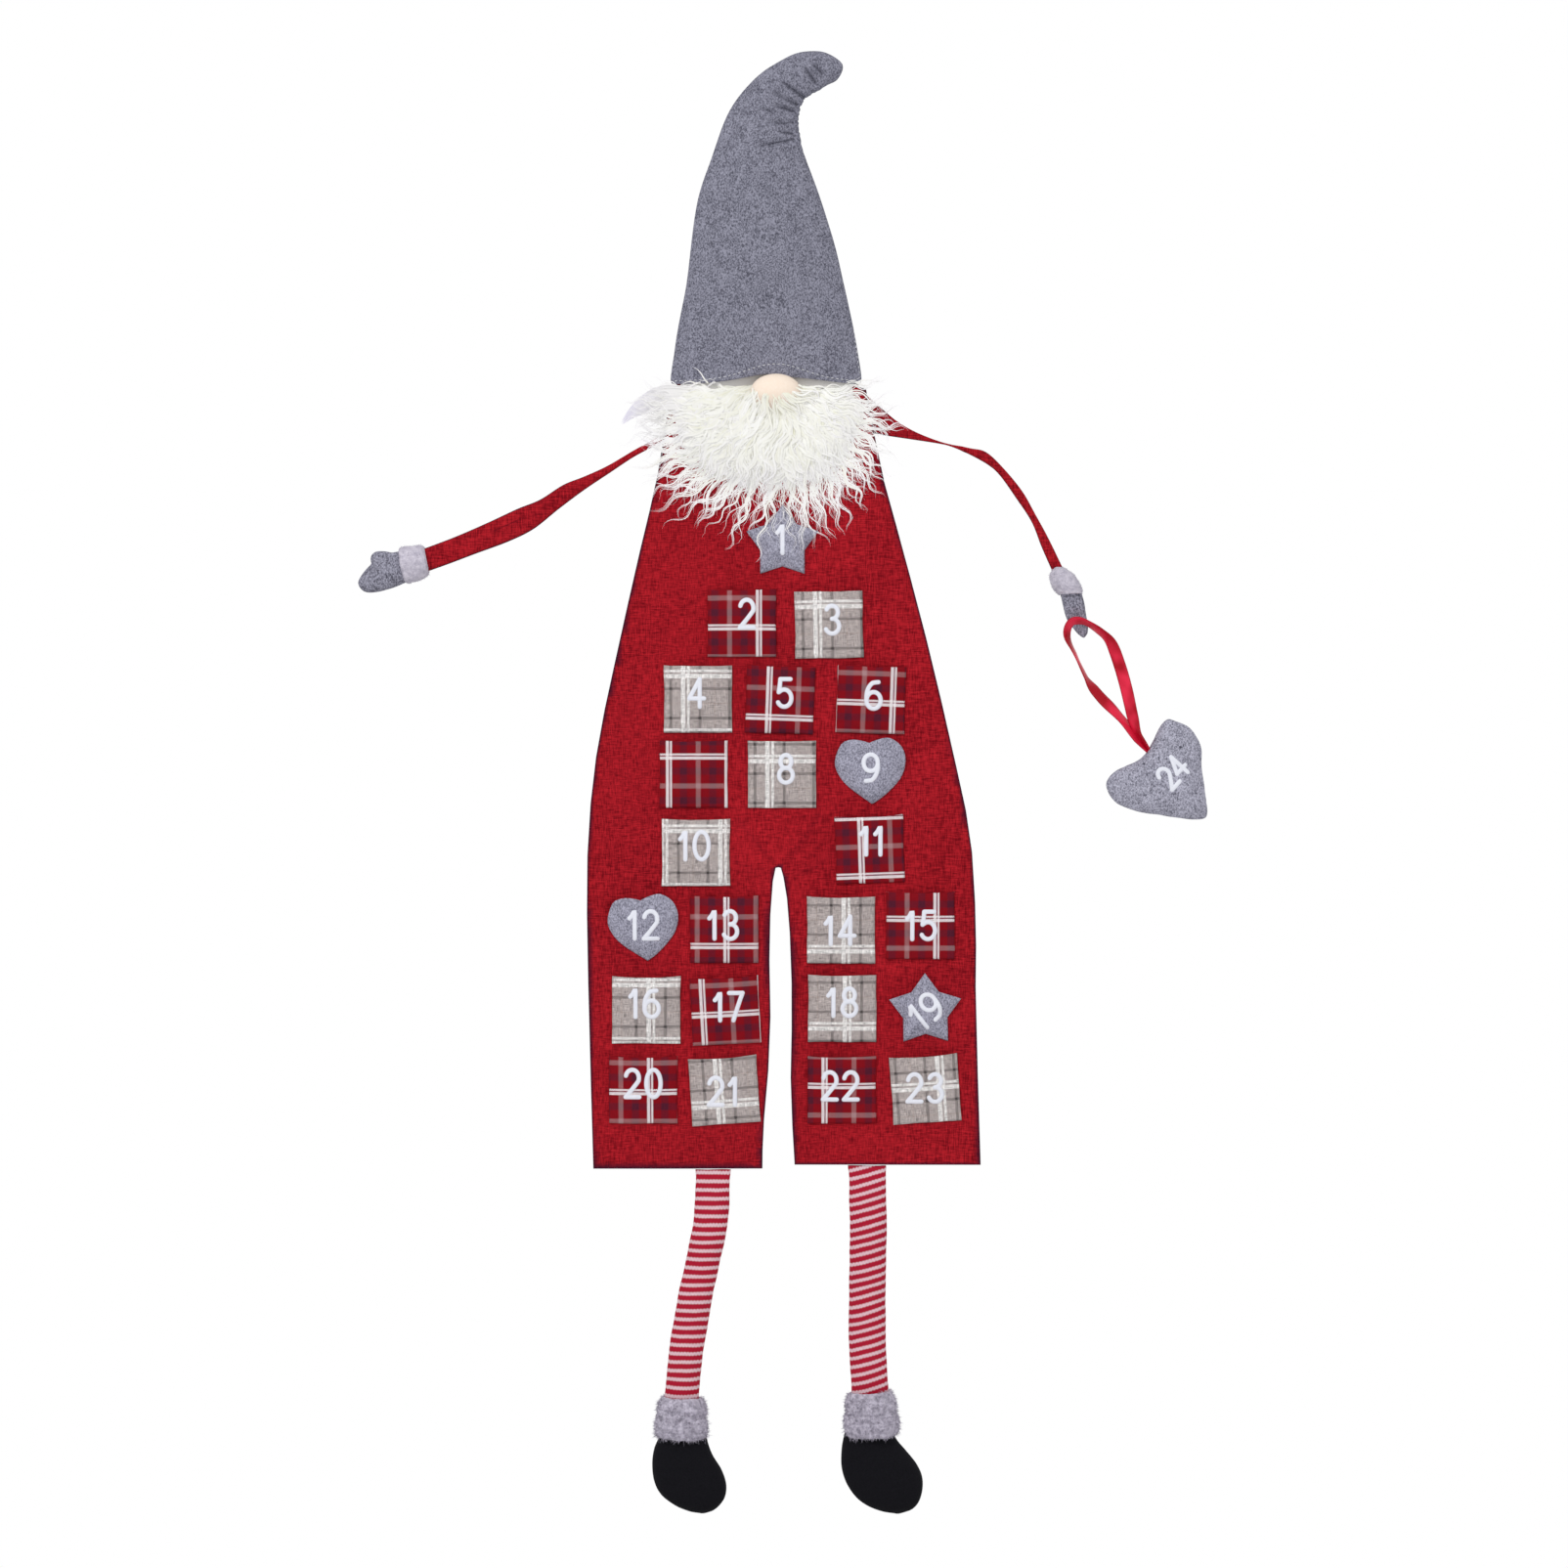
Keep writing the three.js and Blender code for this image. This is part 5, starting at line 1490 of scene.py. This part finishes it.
# Pointed wavy locks; the higher ones are the paler, and the deeper ones are painted with shade
def furLayer(draw, count, lengths, lifts, thick, wave, tones, outline, ply):
    made = []
    lengths, lifts, thick = [[size * mm for size in sizes] for sizes in (lengths, lifts, thick)]
    while len(made) < count:
        x, z = furRoot(draw)
        height = draw.random()
        angle = combed(x, z, draw)
        if math.sin(angle) > 0.3:
            angle = -angle
        room = roomFrom(x, z, angle, outline) * draw.uniform(0.75, 1.15)
        length = clamp(min(draw.uniform(*lengths), room), 14 * mm, 80 * mm)
        lift = lifts[0] + (lifts[1] - lifts[0]) * height
        path = furStrand(draw, x, z, angle, length, 14, draw.uniform(*wave), lift)
        if path:
            # Half the tone follows how high the strand lies, painting shade on the deeper ones; half is
            # random
            tone = tones[0] + (tones[1] - tones[0]) * (0.5 * height + 0.5 * draw.random())
            if ply > 1:
                made += clumpOf(path, draw, draw.randint(2, ply), draw.uniform(0.5, 1.2) * mm, thick, tone)
            else:
                made.append((path, draw.uniform(*thick), tone, 0.5))
    return made


# Strands that follow one path side by side, and close up towards their ends
def clumpOf(path, draw, count, spread, thick, tone):
    made = []
    steps = len(path) - 1
    for _ in range(count):
        sideways, depth = draw.gauss(0, 1), draw.gauss(0, 0.5)
        trim = draw.uniform(0.82, 1.0)
        points = []
        for i in range(steps + 1):
            share = i / steps
            p = catmull(path, share * trim)
            side = (catmull(path, min(share * trim + 0.02, 1)) - p).cross(backwards)
            side = side.normalized() if side.length > 1e-7 else Vector((1, 0, 0))
            width = spread * (1.15 - 0.6 * share)
            place = p + side * width * sideways
            place.y = min(p.y + 0.4 * width * depth, beard["frontOfSleeve"]) if i else p.y
            points.append(place)
        made.append((points, draw.uniform(*thick), clamp(tone + draw.uniform(-0.12, 0.12), 0, 1), 0.5))
    return made


draw = random.Random(24)
layers = {"beard_locks_" + name: furLayer(draw, *given) for name, given in furLayers.items()}
# The long locks of the fringe: they sweep out to the left, and hang in the middle and on the right
fringe = {
    "strands": 900,
    "around": (-1.03, 0.1),
    "depth": (0.45, 0.97),
    "lengths": (50 * mm, 115 * mm),
    "stretch": (1.0, 1.45),
    "wave": (0.5, 1.05),
    "thick": (0.4 * mm, 0.75 * mm),
    "sweep": -1.02 * math.pi,
    "highest": -3.25,
}
locks = []
rim, across, down = beard["dense"]
while len(locks) < fringe["strands"]:
    around = draw.uniform(*fringe["around"]) * math.pi
    depth = draw.uniform(*fringe["depth"])
    x, z = rim.x + depth * across * math.cos(around), rim.y + depth * down * math.sin(around)
    leftwards = clamp(-math.cos(around) * 1.6, 0, 1)
    heading = around - 0.25 + (fringe["sweep"] - around) * 0.42 * leftwards + draw.gauss(0, 0.3)
    heading = max(heading, fringe["highest"])
    length = draw.uniform(*fringe["lengths"])
    length = min(length, roomFrom(x, z, heading, "outer") * draw.uniform(*fringe["stretch"]))
    wave, lift = draw.uniform(*fringe["wave"]), draw.uniform(0.6, 3) * mm
    lock = furStrand(draw, x, z, heading, length, 18, wave, lift)
    if lock:
        count, spread = draw.randint(2, 6), draw.uniform(0.5, 1.7) * mm
        locks += clumpOf(lock, draw, count, spread, fringe["thick"], draw.uniform(0.5, 1))
layers["beard_fringe"] = locks
# The smooth wisp combed out past the left shoulder
wisp = []
for _ in range(260):
    spread = draw.gauss(0, 1)
    rise = draw.uniform(-1, 1)
    route = [
        Vector((-72 + 8 * draw.random(), -20 - draw.uniform(0, 3), -229 - 9 * rise)) * mm,
        Vector((-98, -19 - draw.uniform(0, 3), -228 - 10 * rise)) * mm,
        Vector((-118, -19, -236 - 7 * rise)) * mm,
        Vector((-131 + spread, -19, -248 - 2 * rise + spread)) * mm,
    ]
    reach = draw.uniform(0.8, 1.0)
    points = [catmull(route, reach * k / 12) for k in range(13)]
    wisp.append((points, draw.uniform(0.3, 0.55) * mm, draw.random(), 0.8))
layers["beard_wisp"] = wisp
for name, strands in layers.items():
    made = strandMesh(name, strands, materials["wisp" if name == "beard_wisp" else "fur"])
    seat(made, "calendar", "curly_fur")
    made.data.shade_flat()
    made.visible_diffuse = False
furBase.visible_shadow = False
furBase.visible_diffuse = False
print("beard made")


# Pile of a cuff: strands, length, thickness, material, seed of its draws, and how far it hangs
armPile = (1600, 1.3 * mm, 0.2 * mm, "plush", 5, 0)
bootPile = (3400, 2.8 * mm, 0.24 * mm, "darkPlush", 6, 0.3)


# Short pile that stands off a plush cuff
def plushPile(name, base, body, count, length, radius, paint, seed, droop):
    draw = random.Random(seed)
    mesh = base.data
    areas, total = [], 0.0
    for polygon in mesh.polygons:
        total += polygon.area
        areas.append(total)
    middle = sum((Vector(v.co) for v in mesh.vertices), Vector()) / len(mesh.vertices)
    strands = []
    while len(strands) < count:
        polygon = mesh.polygons[min(bisect.bisect(areas, draw.uniform(0, total)), len(areas) - 1)]
        corners = [mesh.vertices[i].co for i in polygon.vertices]
        weights = [draw.random() + 0.05 for _ in corners]
        root = sum((c * w for c, w in zip(corners, weights)), Vector()) / sum(weights)
        if (root - middle).dot(polygon.normal) < 0:
            continue
        lean, curl = [
            Vector((draw.gauss(0, spread), draw.gauss(0, spread), draw.gauss(0, spread) - droop))
            for spread in (0.45, 0.5)
        ]
        heading = (polygon.normal + lean).normalized()
        reach = length * draw.uniform(0.6, 1.2)
        points = []
        for i in range(4):
            share = i / 3
            points.append(root - polygon.normal * 0.4 * mm + (heading + curl * share) * reach * share * 0.8)
        strands.append((points, radius * draw.uniform(0.7, 1.3), draw.random(), 1.0))
    seat(strandMesh(name, strands, materials[paint]), body, "grey_plush")


def crease(co, normal, seed):
    return normal * (1.0 * mm * ripple(co, 0.012, seed) + 0.5 * mm * ripple(co, 0.005, seed))


# Widens or moves a piece about its own middle, as the photo shows it
def resize(obj, wide, high, move):
    low, top = [Vector(f(v.co[i] for v in obj.data.vertices) for i in range(3)) for f in (min, max)]
    middle = (low + top) / 2

    def offset(co, normal):
        return Vector(((co.x - middle.x) * (wide - 1) + move, 0, (co.z - middle.z) * (high - 1)))

    shift(obj, offset)


# Narrower at a boot cuff's upper edge, with a crease right round its middle
def slump(cuff):
    vertices = cuff.data.vertices
    low, high = [f(v.co.z for v in vertices) for f in (min, max)]
    centre = sum(v.co.x for v in vertices) / len(vertices)

    def offset(co, normal):
        level = (2 * co.z - low - high) / (high - low)
        groove = bell(level - 0.12 * math.sin(co.x * 160), 0.14) * 2.0 * mm
        return crease(co, normal, 8) - normal * groove + Vector(((co.x - centre) * -0.09 * level, 0, 0))

    return offset


# The left leg leans out towards its boot
def leanOut(co, normal):
    return Vector((-3 * mm * clamp((-0.90 - co.z) / 0.14, 0, 1), 0, 0))


resize(forms["leg_left"], 1.1, 1.0, -0.5 * mm)
shift(forms["leg_left"], leanOut)
resize(forms["leg_right"], 1.18, 1.0, 0.3 * mm)
resize(forms["boot_cuff_plush_left"], 0.98, 1.04, -4 * mm)
resize(forms["boot_cuff_plush_right"], 1.02, 1.1, 0.5 * mm)
for side in ("left", "right"):
    cuff = forms["arm_cuff_" + side]
    shift(cuff, lambda co, normal: crease(co, normal, 4))
    plushPile("arm_cuff_pile_" + side, cuff, side + "_arm", *armPile)
for side in ("left", "right"):
    cuff = forms["boot_cuff_plush_" + side]
    shift(cuff, slump(cuff))
    plushPile("boot_cuff_pile_" + side, cuff, side + "_leg_and_boot", *bootPile)
print("cuffs made")


# Draws the seam line in between a stuffed piece's two halves, and lets its faces swell unevenly
def sewn(seed, depth, swell):
    def offset(co, normal):
        pinch = bell(co.y - seamY, 1.3 * mm) * depth
        return normal * (swell * ripple(co, 0.018, seed) + 0.3 * swell * ripple(co, 0.006, seed) - pinch)

    return offset


for name, seed, depth, swell in [
    ("mitten_left", 1, 0.7 * mm, 0.7 * mm),
    ("mitten_right", 2, 0.7 * mm, 0.7 * mm),
    ("heart_felt", 5, 0.9 * mm, 1.0 * mm),
    ("leg_left", 6, 0.0, 0.7 * mm),
    ("leg_right", 7, 0.0, 0.7 * mm),
]:
    shift(forms[name], sewn(seed, depth, swell))
print("stuffed pieces made")

heartMiddle = Vector((319 * mm, -534.4 * mm))
label = layNumber("number_24", "24", heartMiddle, 48, forms["heart_felt"], 0.82, -0.6 * mm)
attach(label, "stuffed_heart")
print("heart numbered")


camera = linked("camera", bpy.data.cameras.new("camera"))
camera.data.sensor_width = 36
camera.data.lens = 100.5
camera.location = (0.0016, -3.6, -0.544)
camera.rotation_euler = (math.radians(90), 0, 0)
bpy.context.scene.camera = camera


def softLight(name, place, aim, width, power):
    light = linked(name, bpy.data.lights.new(name, "AREA"))
    light.data.shape = "DISK"
    light.data.size = width
    light.data.energy = power
    light.location = place
    light.rotation_euler = (Vector(aim) - Vector(place)).to_track_quat("-Z", "Y").to_euler()


softLight("key_light", (-1.3, -2.4, 1.3), (0, 0, -0.5), 1.1, 37)
softLight("fill_light", (2.0, -2.6, -0.3), (0, 0, -0.6), 1.6, 11)

floorRadius, floorZ = 0.9, -1.43
floorRing = [(floorRadius * x, floorRadius * y, floorZ) for x, y in circle(120)]
floor = meshObject("floor", floorRing, [tuple(range(len(floorRing)))], materials["floor"])

# A bright backdrop, which lights the cloth less than it shows
world = bpy.data.worlds.new("studio")
bpy.context.scene.world = world
world.use_nodes = True
tree = world.node_tree
tree.nodes.clear()
rays = values(tree, node(tree, "ShaderNodeLightPath").outputs)
seen = strongest([rays[f"Is {kind} Ray"] for kind in ("Camera", "Glossy", "Transmission")])
backdrop = node(tree, "ShaderNodeBackground", {"Color": (1, 1, 1), "Strength": seen.timesPlus(0.36, 0.64)})
node(tree, "ShaderNodeOutputWorld", {"Surface": backdrop.outputs[0]})
bpy.context.scene.view_settings.view_transform = "Standard"
